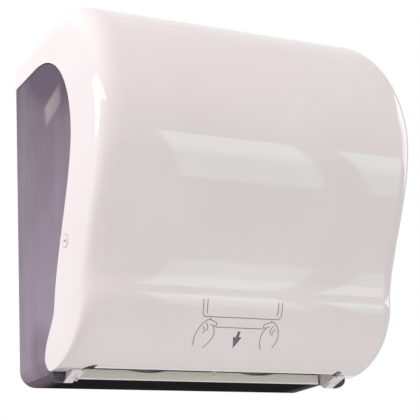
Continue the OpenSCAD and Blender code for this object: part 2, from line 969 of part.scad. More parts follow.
module blade_carrier() {
    color("ivory") drum_frame()
        difference() {
            translate([-disc_x, carrier_in, -carrier_t])
                cube([2 * disc_x, carrier_h, carrier_t]);
            for (i = [-2 : 2])
                translate([i * blade_screw_pitch, blade_screw_y, -carrier_t + 1])
                    cylinder(h = carrier_t, r = blade_screw_r);
        }
}

module cutter_blade() {
    teeth = floor(2 * blade_half / tooth_pitch);
    half = teeth * tooth_pitch / 2;
    valley = blade_tip - tooth_h;
    edge = [
        for (i = [0 : teeth - 1])
            each [
                [half - i * tooth_pitch, valley],
                [half - (i + 0.5) * tooth_pitch, blade_tip]
            ]
    ];
    color("lightsteelblue") drum_frame()
        difference() {
            linear_extrude(blade_t)
                polygon(concat([[-half, blade_root], [half, blade_root]], edge, [[-half, valley]]));
            for (i = [-2 : 2])
                translate([i * blade_screw_pitch, blade_screw_y, -1])
                    cylinder(h = blade_t + 2, r = blade_screw_r);
        }
}

module blade_screws() {
    color("silver") drum_frame()
        for (i = [-2 : 2])
            translate([i * blade_screw_pitch, blade_screw_y, -carrier_t + 1]) {
                cylinder(h = carrier_t + blade_t - 1, r = blade_screw_r);
                translate([0, 0, carrier_t + blade_t - 1])
                    cylinder(h = blade_t, r = 2 * blade_screw_r);
            }
}

module cam_follower() {
    color("silver") drum_frame()
        translate([-disc_x - follower_l, follower_home, -carrier_t / 2])
            rotate([0, 90, 0])
                cylinder(h = follower_l, r = follower_r);
}

// Over-centre drive: a crank on the shaft's right end and a tension spring in a closed housing
housing_x = cheek_x + cheek_t;
post_at = drum_at + [0, post_rise];
crank_at = drum_at + [0, crank_r];
crank_pin_r = 2.5;
post_r = 3;
spring_x = housing_x + housing_w / 2 + 2;
eye_t = 3;
eye_r = 7;
plug_in = 6;
eye_neck = 6;
stem_gap = 0.8;
coil_start = crank_at[1] + eye_r + eye_neck;
coil_end = post_at[1] - eye_r - eye_neck;
channel_half = 20;
housing_in_r = crank_disc_r + 5;

module housing_outline(grow) {
    half = channel_half + grow;
    translate([-drum_d, drum_z])
        circle(housing_in_r + grow);
    translate([-drum_d - half, drum_z])
        square([2 * half, post_rise]);
    translate([-post_at[0], post_at[1]])
        circle(half);
}

module crank_disc() {
    color("gray") on_wall()
        difference() {
            rod(crank_x, crank_x + crank_t, crank_disc_r, drum_at);
            rod(crank_x - 1, crank_x + crank_t + 1, shaft_r, drum_at);
            rod(crank_x - 1, crank_x + crank_t + 1, crank_pin_r, crank_at);
        }
}

module crank_pin() {
    color("silver") on_wall()
        rod(crank_x, spring_x - eye_t / 2 - end_gap, crank_pin_r, crank_at);
}

module spring_housing() {
    color("slategray") on_wall()
        difference() {
            drum_prism(housing_x, housing_x + housing_w)
                housing_outline(housing_t);
            drum_prism(housing_x + housing_t, housing_x + housing_w + 1)
                housing_outline(0);
            rod(housing_x - 1, housing_x + housing_t + 1, shaft_r + end_gap, drum_at);
            rod(housing_x - 1, housing_x + housing_t + 1, post_r, post_at);
        }
}

module spring_cap() {
    color("slategray") on_wall()
        drum_prism(housing_x + housing_w, housing_x + housing_w + housing_t)
            housing_outline(housing_t);
}

module spring_post() {
    color("silver") on_wall()
        rod(housing_x, housing_x + housing_w, post_r, post_at);
}

drive_rings = drive_turns * rings_a_turn;
drive_path = [
    for (i = [0 : drive_rings])
        let (a = 360 * i / rings_a_turn)
        [spring_x + drive_r * cos(a), -drum_d + drive_r * sin(a), mix(coil_start, coil_end, i / drive_rings)]
];
echo(drive_spring_gap = self_gap(drive_path, drive_wire_r));

module drive_spring() {
    color("silver") on_wall()
        tube(drive_path, drive_wire_r, [0, 0, 1]);
}

// Eye with a plug that screws into the end of the spring
module spring_eye(at, toward, bore) {
    plug_end = toward > 0 ? coil_start + plug_in : coil_end - plug_in;
    stem = drive_r - drive_wire_r - stem_gap;
    difference() {
        union() {
            rod(spring_x - eye_t / 2, spring_x + eye_t / 2, eye_r, at);
            translate([spring_x, -at[0], min(at[1] + toward * eye_r, plug_end)])
                cylinder(h = abs(plug_end - at[1] - toward * eye_r), r = stem);
            translate([spring_x - eye_t / 2, -at[0] - stem / 2, min(at[1], at[1] + toward * (eye_r + 1))])
                cube([eye_t, stem, eye_r + 1]);
        }
        rod(spring_x - eye_t, spring_x + eye_t, bore, at);
    }
}

module spring_eyes() {
    color("silver") on_wall() {
        spring_eye(crank_at, 1, crank_pin_r + run_fit);
        spring_eye(post_at, -1, post_r + run_fit);
    }
}

// Pinch roller on a sprung yoke
pinch_reach = drum_r + tyre_r + paper_gap;
pinch_at = drum_at + pinch_reach * [-cos(pinch_angle), sin(pinch_angle)];
yoke_x = drum_w / 2 + 1.5;
yoke_dir = unit(pinch_at - yoke_at);
yoke_bar_t = 8;

module yoke_pivot_rod() {
    color("silver") on_wall()
        rod(-cheek_x - cheek_t, cheek_x + cheek_t, roller_shaft_r, yoke_at);
}

module pinch_yoke() {
    color("dimgray") on_wall()
        difference() {
            union() {
                both_sides() {
                    depth_prism(yoke_x, yoke_x + yoke_t, slat(yoke_at, pinch_at, yoke_w));
                    rod(yoke_x, yoke_x + yoke_t, yoke_w / 2, yoke_at);
                    rod(yoke_x, yoke_x + yoke_t, yoke_w / 2, pinch_at);
                }
                depth_prism(-yoke_x - 1, yoke_x + 1,
                    slat(mix(yoke_at, pinch_at, 0.28), mix(yoke_at, pinch_at, 0.56), yoke_bar_t));
            }
            rod(-yoke_x - yoke_t - 1, yoke_x + yoke_t + 1, roller_shaft_r + run_fit, yoke_at);
            rod(-yoke_x - yoke_t - 1, yoke_x + yoke_t + 1, roller_shaft_r + run_fit, pinch_at);
        }
}

yoke_room = 0.3;
yoke_coil_r = yoke_bar_t / 2 + yoke_wire_r + yoke_room;
yoke_pitch = 2 * (yoke_wire_r + yoke_room);
yoke_leg = tie_behind;
yoke_side = 3;
yoke_coil_x = yoke_x - 1 - yoke_turns * yoke_pitch - yoke_side;
yoke_end_angle = atan2(yoke_dir[0], -yoke_dir[1]);
yoke_sweep = 360 * yoke_turns + 90 - yoke_end_angle;
yoke_rings = ceil(yoke_sweep / 360 * rings_a_turn);
function yoke_point(d, h, x) = [x, -yoke_d - d, yoke_z + h];
yoke_coil = [
    for (i = [0 : yoke_rings])
        let (a = 90 - yoke_sweep * i / yoke_rings)
        yoke_point(yoke_coil_r * cos(a), yoke_coil_r * sin(a),
            yoke_coil_x + yoke_pitch * yoke_sweep / 360 * i / yoke_rings)
];
yoke_last = yoke_coil[yoke_rings];
yoke_path = concat(
    [yoke_coil[0] + [0, yoke_leg, 0]],
    yoke_coil,
    [yoke_last + yoke_leg * [0, -yoke_dir[0], yoke_dir[1]]]
);
echo(yoke_spring_gap = self_gap(yoke_path, yoke_wire_r));

module yoke_springs() {
    color("silver") on_wall()
        both_sides()
            tube(yoke_path, yoke_wire_r, [1, 0, 0]);
}

module pinch_shaft() {
    pinch_proud = 0.4;
    color("silver") on_wall()
        rod(-yoke_x - yoke_t - pinch_proud, yoke_x + yoke_t + pinch_proud, roller_shaft_r, pinch_at);
}

module pinch_tyres() {
    color("black") on_wall()
        for (x = strip_at)
            difference() {
                rod(x - strip_w / 2, x + strip_w / 2, tyre_r, pinch_at);
                rod(x - strip_w / 2 - 1, x + strip_w / 2 + 1, roller_shaft_r, pinch_at);
            }
}

// Roll holder, drawn for the right side and mirrored for the left
arm_inner_x = roll_w / 2 + flange_t + end_gap;
arm_pivot_x = arm_inner_x + roll_arm_t / 2;
barrel_r = 5;
barrel_half = roll_arm_h + 3;
lug_half = 5;
lug_h = 6.7;
lug_play = 0.3;
bracket_t = 3;
bracket_half_w = 11;
bracket_screw_z = barrel_half + lug_h + head_r + 3;
bracket_half_h = bracket_screw_z + head_r + 1;
pivot_pin_r = 2.5;

module arm_bracket() {
    difference() {
        union() {
            front_prism(back_t, back_t + bracket_t)
                translate([arm_pivot_x - bracket_half_w, roll_z - bracket_half_h])
                    square([2 * bracket_half_w, 2 * bracket_half_h]);
            for (z = [roll_z - barrel_half - lug_play - lug_h, roll_z + barrel_half + lug_play]) {
                translate([arm_pivot_x - lug_half, -pivot_d, z])
                    cube([2 * lug_half, pivot_d - back_t - 1, lug_h]);
                translate([arm_pivot_x, -pivot_d, z])
                    cylinder(h = lug_h, r = lug_half);
            }
        }
        translate([arm_pivot_x, -pivot_d, roll_z - bracket_half_h])
            cylinder(h = 2 * bracket_half_h, r = pivot_pin_r);
        for (z = around(roll_z, bracket_screw_z))
            wall_hole(arm_pivot_x, z, screw_r, back_t + bracket_t + 1);
    }
}

module left_arm_bracket() {
    color("gainsboro") on_wall()
        mirror([1, 0, 0])
            arm_bracket();
}

module right_arm_bracket() {
    color("gainsboro") on_wall()
        arm_bracket();
}

module bracket_screws() {
    color("silver") on_wall()
        for (x = around(0, arm_pivot_x))
            for (z = around(roll_z, bracket_screw_z))
                wall_screw(x, back_t + bracket_t, z, back_t + bracket_t - tip_gap);
}

module pivot_pin() {
    pin_half = barrel_half + lug_play + lug_h;
    translate([arm_pivot_x, -pivot_d, roll_z - pin_half])
        cylinder(h = 2 * pin_half, r = pivot_pin_r);
}

module left_pivot_pin() {
    color("silver") on_wall()
        mirror([1, 0, 0])
            pivot_pin();
}

module right_pivot_pin() {
    color("silver") on_wall()
        pivot_pin();
}

module roll_arm() {
    difference() {
        union() {
            depth_prism(arm_inner_x, arm_inner_x + roll_arm_t,
                slat([pivot_d, roll_z], roll_at, 2 * roll_arm_h));
            rod(arm_inner_x, arm_inner_x + roll_arm_t, roll_arm_h, roll_at);
            translate([arm_pivot_x, -pivot_d, roll_z - barrel_half])
                cylinder(h = 2 * barrel_half, r = barrel_r);
        }
        translate([arm_pivot_x, -pivot_d, roll_z - barrel_half - 1])
            cylinder(h = 2 * barrel_half + 2, r = pivot_pin_r + run_fit);
        rod(arm_inner_x - 1, arm_inner_x + roll_arm_t + 1, axle_r, roll_at);
    }
}

module left_roll_arm() {
    color("gainsboro") on_wall()
        mirror([1, 0, 0])
            roll_arm();
}

module right_roll_arm() {
    color("gainsboro") on_wall()
        roll_arm();
}

plug_x = roll_w / 2 - plug_l;
module hub_axle() {
    axle_head_t = 2;
    axle_head_r = axle_r + 2.5;
    outer_x = arm_inner_x + roll_arm_t;
    rod(plug_x - end_gap, outer_x, axle_r, roll_at);
    rod(outer_x, outer_x + axle_head_t, axle_head_r, roll_at);
    rod(plug_x - end_gap - axle_head_t, plug_x - end_gap, axle_head_r, roll_at);
}

module left_hub_axle() {
    color("silver") on_wall()
        mirror([1, 0, 0])
            hub_axle();
}

module right_hub_axle() {
    color("silver") on_wall()
        hub_axle();
}

module hub() {
    hub_wall = 3;
    hub_boss_r = axle_r + 4;
    difference() {
        union() {
            rod(roll_w / 2, roll_w / 2 + flange_t, flange_r, roll_at);
            rod(plug_x, roll_w / 2, plug_r, roll_at);
        }
        difference() {
            rod(plug_x - 1, roll_w / 2 - hub_wall, plug_r - hub_wall, roll_at);
            rod(plug_x - 2, roll_w / 2, hub_boss_r, roll_at);
        }
        rod(plug_x - 1, roll_w / 2 + flange_t + 1, axle_r + run_fit, roll_at);
    }
}

module left_hub() {
    color("steelblue") on_wall()
        mirror([1, 0, 0])
            hub();
}

module right_hub() {
    color("steelblue") on_wall()
        hub();
}

// Cover: the profile swept across the width, its edges rounded at both ends, its sides cut at the rim.
// Behind the lip it is closed by a flat sole.
edge_angles = [for (k = [0 : edge_steps]) 90 - 90 * k / edge_steps];
function inset_dir(normal) = normal[1] > 0 ? normal : [1, 0];
function edge_point(p, dir, r, angle, x_sign, x_flat) =
    let (q = p - r * (1 - cos(angle)) * dir)
    [x_sign * (x_flat + r * sin(angle)), -q[0], q[1]];
function cover_row(i, thick) =
    let (
        p = cover_rows[i][0] - thick * cover_rows[i][1],
        dir = inset_dir(cover_rows[i][1]),
        upright = cover_rows[i][1][1],
        round_r = mix(corner_r, upright > 0 ? edge_r : foot_r, abs(upright)),
        r = round_r - thick,
        rim = rim_rows[i] + [0, i == len(cover_rows) - 1 ? thick : 0]
    )
    concat(
        [[-half_w + thick, -rim[0], rim[1]]],
        [for (a = edge_angles) edge_point(p, dir, r, a, -1, half_w - round_r)],
        [for (k = [edge_steps : -1 : 0]) edge_point(p, dir, r, edge_angles[k], 1, half_w - round_r)],
        [[half_w - thick, -rim[0], rim[1]]]
    );

module cover_shell() {
    rows = len(cover_rows);
    cols = 2 * edge_steps + 4;
    inner = rows * cols;
    points = concat(
        [for (i = [0 : rows - 1]) each cover_row(i, 0)],
        [for (i = [0 : rows - 1]) each cover_row(i, cover_t)]
    );
    skins = [
        for (i = [0 : rows - 2])
            for (j = [0 : cols - 2])
                let (a = i * cols + j, b = a + 1, c = b + cols, d = a + cols)
                each concat(quad(a, b, c, d), quad(inner + d, inner + c, inner + b, inner + a))
    ];
    back_end = [
        for (j = [0 : cols - 2])
            each quad(j + 1, j, inner + j, inner + j + 1)
    ];
    lip_row = (rows - 1) * cols;
    toe = lip_row + cols - 1;
    sole = concat(
        [[for (j = [0 : cols - 1]) lip_row + j]],
        [[for (j = [cols - 1 : -1 : 0]) inner + lip_row + j]],
        quad(lip_row, toe, inner + toe, inner + lip_row)
    );
    rims = [
        for (i = [0 : rows - 2])
            let (a = i * cols, b = a + cols - 1)
            each concat(quad(a, a + cols, inner + a + cols, inner + a), quad(b + cols, b, inner + b, inner + b + cols))
    ];
    polyhedron(points, concat(skins, back_end, sole, rims));
}

// Mouth of the slot, cut in the sole and the lip. It ends in a rounded ear on each side.
mouth_d = lip_d + 7;
ear_w = 9.5;
ear_d = lip_d + 16;
ear_root = lip_d + 2;
ear_x = arm_x - ear_w;
bead_r = 1.8;
mouth_half = concat(
    [[arm_x, toe_d - 1]],
    [for (a = [0 : 15 : 90]) [ear_x + ear_w * cos(a), mix(ear_root, ear_d, sin(a))]],
    [[ear_x, mouth_d]]
);
module mouth() {
    last = len(mouth_half) - 1;
    translate([0, 0, lip_z - bead_r])
        linear_extrude(2 * cover_t + bead_r)
            polygon(concat(
                [for (p = mouth_half) [p[0], -p[1]]],
                [for (i = [last : -1 : 0]) [-mouth_half[i][0], -mouth_half[i][1]]]
            ));
}

module front_cover() {
    color([0.96, 0.94, 0.95]) on_wall() {
        difference() {
            cover_shell();
            mouth();
            rod(-half_w - 1, -half_in + 1, lock_r + run_fit, lock_at);
        }
        rod(-ear_x, ear_x, bead_r, [mouth_d, lip_z + cover_t / 2], $fn = 24);
    }
}

// Hinge arm: a channel from the sole back to the knuckle
module hinge_arm() {
    pad_gap = 0.3;
    pad_z = lip_z - pad_gap;
    pad_end = lip_d - 1;
    edge_t = 2;
    under_rear = hinge_at + [3, -knuckle_r + 1];
    under_front = [pad_end, pad_z - arm_t / 2];
    channel_a = mix(under_rear, under_front, 0.2);
    channel_b = mix(under_rear, under_front, 0.9);
    channel_h = 1.6;
    difference() {
        union() {
            depth_prism(arm_x, arm_x + arm_w, [
                hinge_at + [0, knuckle_r - 1],
                [toe_d - 1, pad_z],
                [pad_end, pad_z],
                under_front,
                under_rear
            ]);
            rod(arm_x, arm_x + arm_w, knuckle_r, hinge_at);
        }
        depth_prism(arm_x + edge_t, arm_x + arm_w - edge_t, [
            channel_a + [0, channel_h],
            channel_b + [0, channel_h / 2],
            channel_b - [0, channel_h],
            channel_a - [0, channel_h]
        ]);
        rod(arm_x - 1, arm_x + arm_w + 1, pin_r + run_fit, hinge_at);
    }
}

module hinge_arms() {
    color("white") on_wall()
        both_sides()
            hinge_arm();
}

// Lock in the cover's left side
lock_out = 0.4;
sleeve_l = 10;
sleeve_gap = 0.1;
barrel_end = half_in - sleeve_gap - sleeve_l - 2;

module lock_sleeve() {
    color("silver") on_wall()
        difference() {
            rod(-half_in + sleeve_gap, -half_in + sleeve_gap + sleeve_l, sleeve_r, lock_at);
            rod(-half_in - 1, -half_in + sleeve_l + 2, lock_r + run_fit, lock_at);
        }
}

module lock_barrel() {
    key_w = 1.8;
    key_l = 7;
    key_h = 1.5;
    color("white") on_wall()
        difference() {
            rod(-half_w - lock_out, -barrel_end, lock_r, lock_at);
            translate([-half_w - lock_out - 1, -lock_d - key_l / 2, lock_z - key_w / 2])
                cube([key_h + 1, key_l, key_w]);
            rod(-barrel_end - 6, -barrel_end + 1, screw_r, lock_at);
        }
}

module lock_tongue() {
    tip = lock_at - [bolt_l - bolt_w / 2, 0];
    color("silver") on_wall()
        difference() {
            union() {
                depth_prism(-barrel_end, -barrel_end + bolt_t, slat(lock_at, tip, bolt_w));
                rod(-barrel_end, -barrel_end + bolt_t, bolt_w / 2, tip);
                rod(-barrel_end, -barrel_end + bolt_t, lock_r, lock_at);
            }
            rod(-barrel_end - 1, -barrel_end + bolt_t + 1, screw_r, lock_at);
        }
}

module tongue_screw() {
    color("silver") on_wall()
        translate([-barrel_end + bolt_t, -lock_d, lock_z])
            rotate([0, 90, 0])
                screw(bolt_t + 5);
}

// Keeper: a hook on the casing's side that the turned tongue stands behind
module lock_keeper() {
    hook_t = 6;
    hook_z = lock_z + bolt_l + 3;
    hook_d = lock_d + bolt_w / 2 + 2.5;
    foot_d = lock_d - bolt_l - 12;
    foot_l = 10;
    color("silver") on_wall() {
        depth_prism(-casing_in, -barrel_end + bolt_t, [
            [foot_d - foot_l / 2, hook_z - hook_t],
            [foot_d - foot_l / 2, hook_z + 2 * hook_t],
            [foot_d + foot_l / 2, hook_z + 2 * hook_t],
            [foot_d + foot_l / 2, hook_z - hook_t]
        ]);
        depth_prism(-barrel_end, -barrel_end + bolt_t, [
            [foot_d, hook_z],
            [foot_d, hook_z + hook_t],
            [hook_d + hook_t, hook_z + hook_t],
            [hook_d + hook_t, lock_z + lock_r + 2],
            [hook_d, lock_z + lock_r + 2],
            [hook_d, hook_z]
        ]);
    }
}

rear_casing();
hinge_pins();
left_cheek();
right_cheek();
tie_bars();
cheek_screws();
paper_chute();
chute_screws();
left_bush();
one_way_clutch();
cam_plate();
drum_front_half();
drum_rear_half();
left_drum_end();
right_drum_end();
drum_shaft();
grip_strips();
shaft_clips();
hand_wheel();
blade_carrier();
cutter_blade();
blade_screws();
cam_follower();
crank_disc();
crank_pin();
spring_housing();
spring_cap();
spring_post();
drive_spring();
spring_eyes();
yoke_pivot_rod();
pinch_yoke();
yoke_springs();
pinch_shaft();
pinch_tyres();
left_arm_bracket();
right_arm_bracket();
bracket_screws();
left_pivot_pin();
right_pivot_pin();
left_roll_arm();
right_roll_arm();
left_hub_axle();
right_hub_axle();
left_hub();
right_hub();
front_cover();
hinge_arms();
lock_sleeve();
lock_barrel();
lock_tongue();
tongue_screw();
lock_keeper();
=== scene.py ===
# Wall dispenser for rolled paper towel: the user pulls the sheet, and the pull turns a drum that cuts it.
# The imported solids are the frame, and the looks are made on them.
import math

import bmesh
import bpy
import numpy as np
from mathutils import Matrix, Vector


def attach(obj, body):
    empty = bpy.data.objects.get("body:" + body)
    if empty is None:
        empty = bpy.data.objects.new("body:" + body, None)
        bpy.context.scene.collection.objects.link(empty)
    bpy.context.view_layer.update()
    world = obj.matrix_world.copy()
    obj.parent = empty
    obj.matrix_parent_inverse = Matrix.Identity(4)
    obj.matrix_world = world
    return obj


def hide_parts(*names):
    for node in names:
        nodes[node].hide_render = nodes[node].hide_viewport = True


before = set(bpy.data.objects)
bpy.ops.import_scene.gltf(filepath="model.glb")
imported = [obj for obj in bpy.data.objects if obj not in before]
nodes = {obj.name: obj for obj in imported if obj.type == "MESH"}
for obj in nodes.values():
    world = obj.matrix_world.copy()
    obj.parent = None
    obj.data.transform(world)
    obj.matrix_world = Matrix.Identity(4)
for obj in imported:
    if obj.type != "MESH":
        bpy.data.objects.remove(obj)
scene = bpy.context.scene
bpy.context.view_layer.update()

# View: the dispenser hangs above eye level, seen from its left side and a little from below.
# The focal length is that of a short telephoto on a 36 mm frame.
FRAME_MM, FRAME_PIXELS, FOCAL_PIXELS = 36, 420, 1318
CAMERA_AT = (-0.593, -1.243, -0.399)
yaw, pitch, roll = (math.radians(a) for a in (27.67, 15.93, -3.16))
ahead = Vector((math.sin(yaw) * math.cos(pitch), math.cos(yaw) * math.cos(pitch), math.sin(pitch)))
level = Vector((math.cos(yaw), -math.sin(yaw), 0))
upward = level.cross(ahead)
cam_right = level * math.cos(roll) + upward * math.sin(roll)
cam_up = upward * math.cos(roll) - level * math.sin(roll)
camera = bpy.data.objects.new("camera", bpy.data.cameras.new("camera"))
camera.data.lens = FRAME_MM * FOCAL_PIXELS / FRAME_PIXELS
camera.data.clip_start = 0.05
turned = Matrix((cam_right, cam_up, -ahead)).transposed().to_4x4()
camera.matrix_world = Matrix.Translation(CAMERA_AT) @ turned
scene.collection.objects.link(camera)
scene.camera = camera

# Rear casing: a deep tub of smoke-tinted polycarbonate, moulded in one piece and screwed to the wall.
# Its edges are broken by about a millimetre. The base and the tongue behind the cover's rim are grained, and drawn
# near black as painted shade.


def linear(code):
    parts = [int(code[i:i + 2], 16) / 255 for i in (1, 3, 5)]
    return [p / 12.92 if p <= 0.04045 else ((p + 0.055) / 1.055) ** 2.4 for p in parts] + [1.0]


def add(mat, kind, links=(), **settings):
    made = mat.node_tree.nodes.new(kind)
    for key, value in settings.items():
        if hasattr(made, key):
            setattr(made, key, value)
        else:
            made.inputs[key.replace("_", " ")].default_value = value
    for socket, source in links:
        mat.node_tree.links.new(source, made.inputs[socket])
    return made


def blank(name):
    mat = bpy.data.materials.new(name)
    mat.use_nodes = True
    mat.node_tree.nodes.clear()
    return mat


def dress(names, mat):
    for name in names.split():
        nodes[name].data.materials.clear()
        nodes[name].data.materials.append(mat)


# Polycarbonate with a satin mould finish: a purple-grey tint over a little gloss, with upright flow streaks about
# 12 mm wide. It is paler towards its foot, and painted shade darkens it at its upper front end, under the cover's
# rim, and low in front. The pale end of the roll's guide, 40 mm long, shows through it.
UPPER_DARK, FRONT_DARK, FOOT_DARK = (0.045, 0.092), (-0.010, -0.065), (0.037, 0.010)
RIM_FALL, RIM_FROM = 0.45, 0.095
FOOT_AT = (0, -0.056, -0.172)
PALER_FROM, PALER_TO = (-0.20, 0.536), (0.12, -0.168)
SHADE_BY, STREAKED_BY = 0.30, 0.34
smoke = blank("polycarbonate_smoke_satin_moulded")
place = add(smoke, "ShaderNodeTexCoord")
drawn = add(smoke, "ShaderNodeMapping", [("Vector", place.outputs["Object"])], Scale=(1, 1, 0.12))
streaks = add(smoke, "ShaderNodeTexNoise", [("Vector", drawn.outputs["Vector"])],
              Scale=1 / 0.024, Detail=3.0, Roughness=0.5)
clouds = add(smoke, "ShaderNodeTexNoise", [("Vector", place.outputs["Object"])], Scale=1 / 0.07, Detail=2.0)
side_on = add(smoke, "ShaderNodeMapping", [("Vector", place.outputs["Object"])], Scale=(0, 1, 1))
where = add(smoke, "ShaderNodeSeparateXYZ", [("Vector", place.outputs["Object"])])
under_rim = add(smoke, "ShaderNodeMath", [(0, where.outputs["Y"]), (2, where.outputs["Z"])],
                operation="MULTIPLY_ADD")
under_rim.inputs[1].default_value = -RIM_FALL
high = add(smoke, "ShaderNodeMapRange", [("Value", under_rim.outputs["Value"])],
           From_Min=UPPER_DARK[0] + RIM_FALL * RIM_FROM, From_Max=UPPER_DARK[1] + RIM_FALL * RIM_FROM,
           interpolation_type="SMOOTHSTEP")
forward = add(smoke, "ShaderNodeMapRange", [("Value", where.outputs["Y"])],
              From_Min=FRONT_DARK[0], From_Max=FRONT_DARK[1], interpolation_type="SMOOTHSTEP")
from_foot = add(smoke, "ShaderNodeVectorMath", [(0, side_on.outputs["Vector"])], operation="DISTANCE")
from_foot.inputs[1].default_value = FOOT_AT
low = add(smoke, "ShaderNodeMapRange", [("Value", from_foot.outputs["Value"])],
          From_Min=FOOT_DARK[0], From_Max=FOOT_DARK[1], interpolation_type="SMOOTHSTEP")
# Painted shade: darker under the rim at the upper front end, and in a patch low in front.
painted_shade = add(smoke, "ShaderNodeMath",
                   [(0, high.outputs["Result"]), (1, forward.outputs["Result"]), (2, low.outputs["Result"])],
                   operation="MULTIPLY_ADD")
downward = add(smoke, "ShaderNodeMapRange", [("Value", where.outputs["Z"])],
               From_Min=PALER_FROM[0], From_Max=PALER_TO[0], To_Min=PALER_FROM[1], To_Max=PALER_TO[1])
shade_and_paling = add(smoke, "ShaderNodeMath", [(0, painted_shade.outputs["Value"]), (2, downward.outputs["Result"])],
                 operation="MULTIPLY_ADD")
shade_and_paling.inputs[1].default_value = -SHADE_BY
uneven = add(smoke, "ShaderNodeMath", [(0, streaks.outputs["Fac"]), (1, clouds.outputs["Fac"])],
             operation="ADD")
uneven = add(smoke, "ShaderNodeMath", [(0, uneven.outputs["Value"]), (2, shade_and_paling.outputs["Value"])],
             operation="MULTIPLY_ADD")
uneven.inputs[1].default_value = STREAKED_BY
tint = add(smoke, "ShaderNodeValToRGB", [("Fac", uneven.outputs["Value"])])
tint.color_ramp.elements[0].position = 0.0
tint.color_ramp.elements[0].color = linear("#46354b")
tint.color_ramp.elements[1].position = 0.95
tint.color_ramp.elements[1].color = linear("#9a8d9e")
for position, code in ((0.34, "#6e6271"), (0.75, "#8f8392")):
    tint.color_ramp.elements.new(position).color = linear(code)

# The guide's end is a rounded oblong in the tint, with a soft edge. It shows on the outer faces only.
GUIDE_AT, GUIDE_HALF, GUIDE_TILT = (0, -0.107, 0.0600), (1.0, 0.0205, 0.0100), math.radians(-14)
GUIDE_ROUND, GUIDE_EDGE, GUIDE_SHOWS = 0.7, (1.35, 0.7), 0.75
OUTER_FACE = 0.1632
shifted = add(smoke, "ShaderNodeMapping", [("Vector", place.outputs["Object"])], vector_type="TEXTURE",
              Location=GUIDE_AT, Rotation=(GUIDE_TILT, 0, 0), Scale=GUIDE_HALF)
across = add(smoke, "ShaderNodeSeparateXYZ", [("Vector", shifted.outputs["Vector"])])
wide = add(smoke, "ShaderNodeMath", [(0, across.outputs["Y"])], operation="ABSOLUTE")
tall = add(smoke, "ShaderNodeMath", [(0, across.outputs["Z"])], operation="ABSOLUTE")
within = add(smoke, "ShaderNodeMath", [(0, wide.outputs["Value"]), (1, tall.outputs["Value"])],
             operation="SMOOTH_MAX")
within.inputs[2].default_value = GUIDE_ROUND
shows = add(smoke, "ShaderNodeMapRange", [("Value", within.outputs["Value"])], From_Min=GUIDE_EDGE[0],
            From_Max=GUIDE_EDGE[1], To_Max=GUIDE_SHOWS, interpolation_type="SMOOTHSTEP")
from_middle = add(smoke, "ShaderNodeMath", [(0, across.outputs["X"])], operation="ABSOLUTE")
outside = add(smoke, "ShaderNodeMath", [(0, from_middle.outputs["Value"])], operation="GREATER_THAN")
outside.inputs[1].default_value = OUTER_FACE
shows = add(smoke, "ShaderNodeMath", [(0, shows.outputs["Result"]), (1, outside.outputs["Value"])],
            operation="MULTIPLY")
rearward = add(smoke, "ShaderNodeMapRange", [("Value", across.outputs["Y"])], From_Min=-1.0)
pale = add(smoke, "ShaderNodeValToRGB", [("Fac", rearward.outputs["Result"])])
pale.color_ramp.elements[0].color = linear("#857b82")
pale.color_ramp.elements[1].color = linear("#a39898")
seen_guide = add(smoke, "ShaderNodeMix",
                 [("Factor", shows.outputs["Value"]), (6, tint.outputs["Color"]), (7, pale.outputs["Color"])],
                 data_type="RGBA")
grain = add(smoke, "ShaderNodeTexNoise", [("Vector", place.outputs["Object"])], Scale=1 / 0.0035, Detail=2.0)
skin = add(smoke, "ShaderNodeBump", [("Height", grain.outputs["Fac"])], Strength=0.03, Distance=0.0003)
satin = add(smoke, "ShaderNodeBsdfPrincipled",
            [("Base Color", seen_guide.outputs[2]), ("Normal", skin.outputs["Normal"])],
            Roughness=0.42, IOR=1.58, Specular_IOR_Level=0.1)
add(smoke, "ShaderNodeOutputMaterial", [("Surface", satin.outputs["BSDF"])])

# Base and tongue: the smoke tint drawn near black as painted shade, grained with pits about 0.9 mm apart and with
# nearly no gloss. Towards both ends the painted shade eases, and the tint shows again.
SHADE_EASES, SHADE_ENDS = 0.130, 0.158
shaded_base = blank("polycarbonate_smoke_grained_painted_shade")
place = add(shaded_base, "ShaderNodeTexCoord")
pits = add(shaded_base, "ShaderNodeTexNoise", [("Vector", place.outputs["Object"])],
           Scale=1 / 0.0009, Detail=2.0)
shade = add(shaded_base, "ShaderNodeValToRGB", [("Fac", pits.outputs["Fac"])])
shade.color_ramp.elements[0].color = linear("#18151a")
shade.color_ramp.elements[1].color = linear("#221e24")
where = add(shaded_base, "ShaderNodeSeparateXYZ", [("Vector", place.outputs["Object"])])
sideways = add(shaded_base, "ShaderNodeMath", [(0, where.outputs["X"])], operation="ABSOLUTE")
outer_end = add(shaded_base, "ShaderNodeMapRange", [("Value", sideways.outputs["Value"])],
                From_Min=SHADE_EASES, From_Max=SHADE_ENDS, interpolation_type="SMOOTHSTEP")
shade_eased = add(shaded_base, "ShaderNodeMix",
              [("Factor", outer_end.outputs["Result"]), (6, shade.outputs["Color"])], data_type="RGBA")
shade_eased.inputs[7].default_value = linear("#7d7180")
skin = add(shaded_base, "ShaderNodeBump", [("Height", pits.outputs["Fac"])], Strength=0.2, Distance=0.0003)
matt = add(shaded_base, "ShaderNodeBsdfPrincipled",
           [("Base Color", shade_eased.outputs[2]), ("Normal", skin.outputs["Normal"])],
           Roughness=0.9, IOR=1.58, Specular_IOR_Level=0.01)
add(shaded_base, "ShaderNodeOutputMaterial", [("Surface", matt.outputs["BSDF"])])
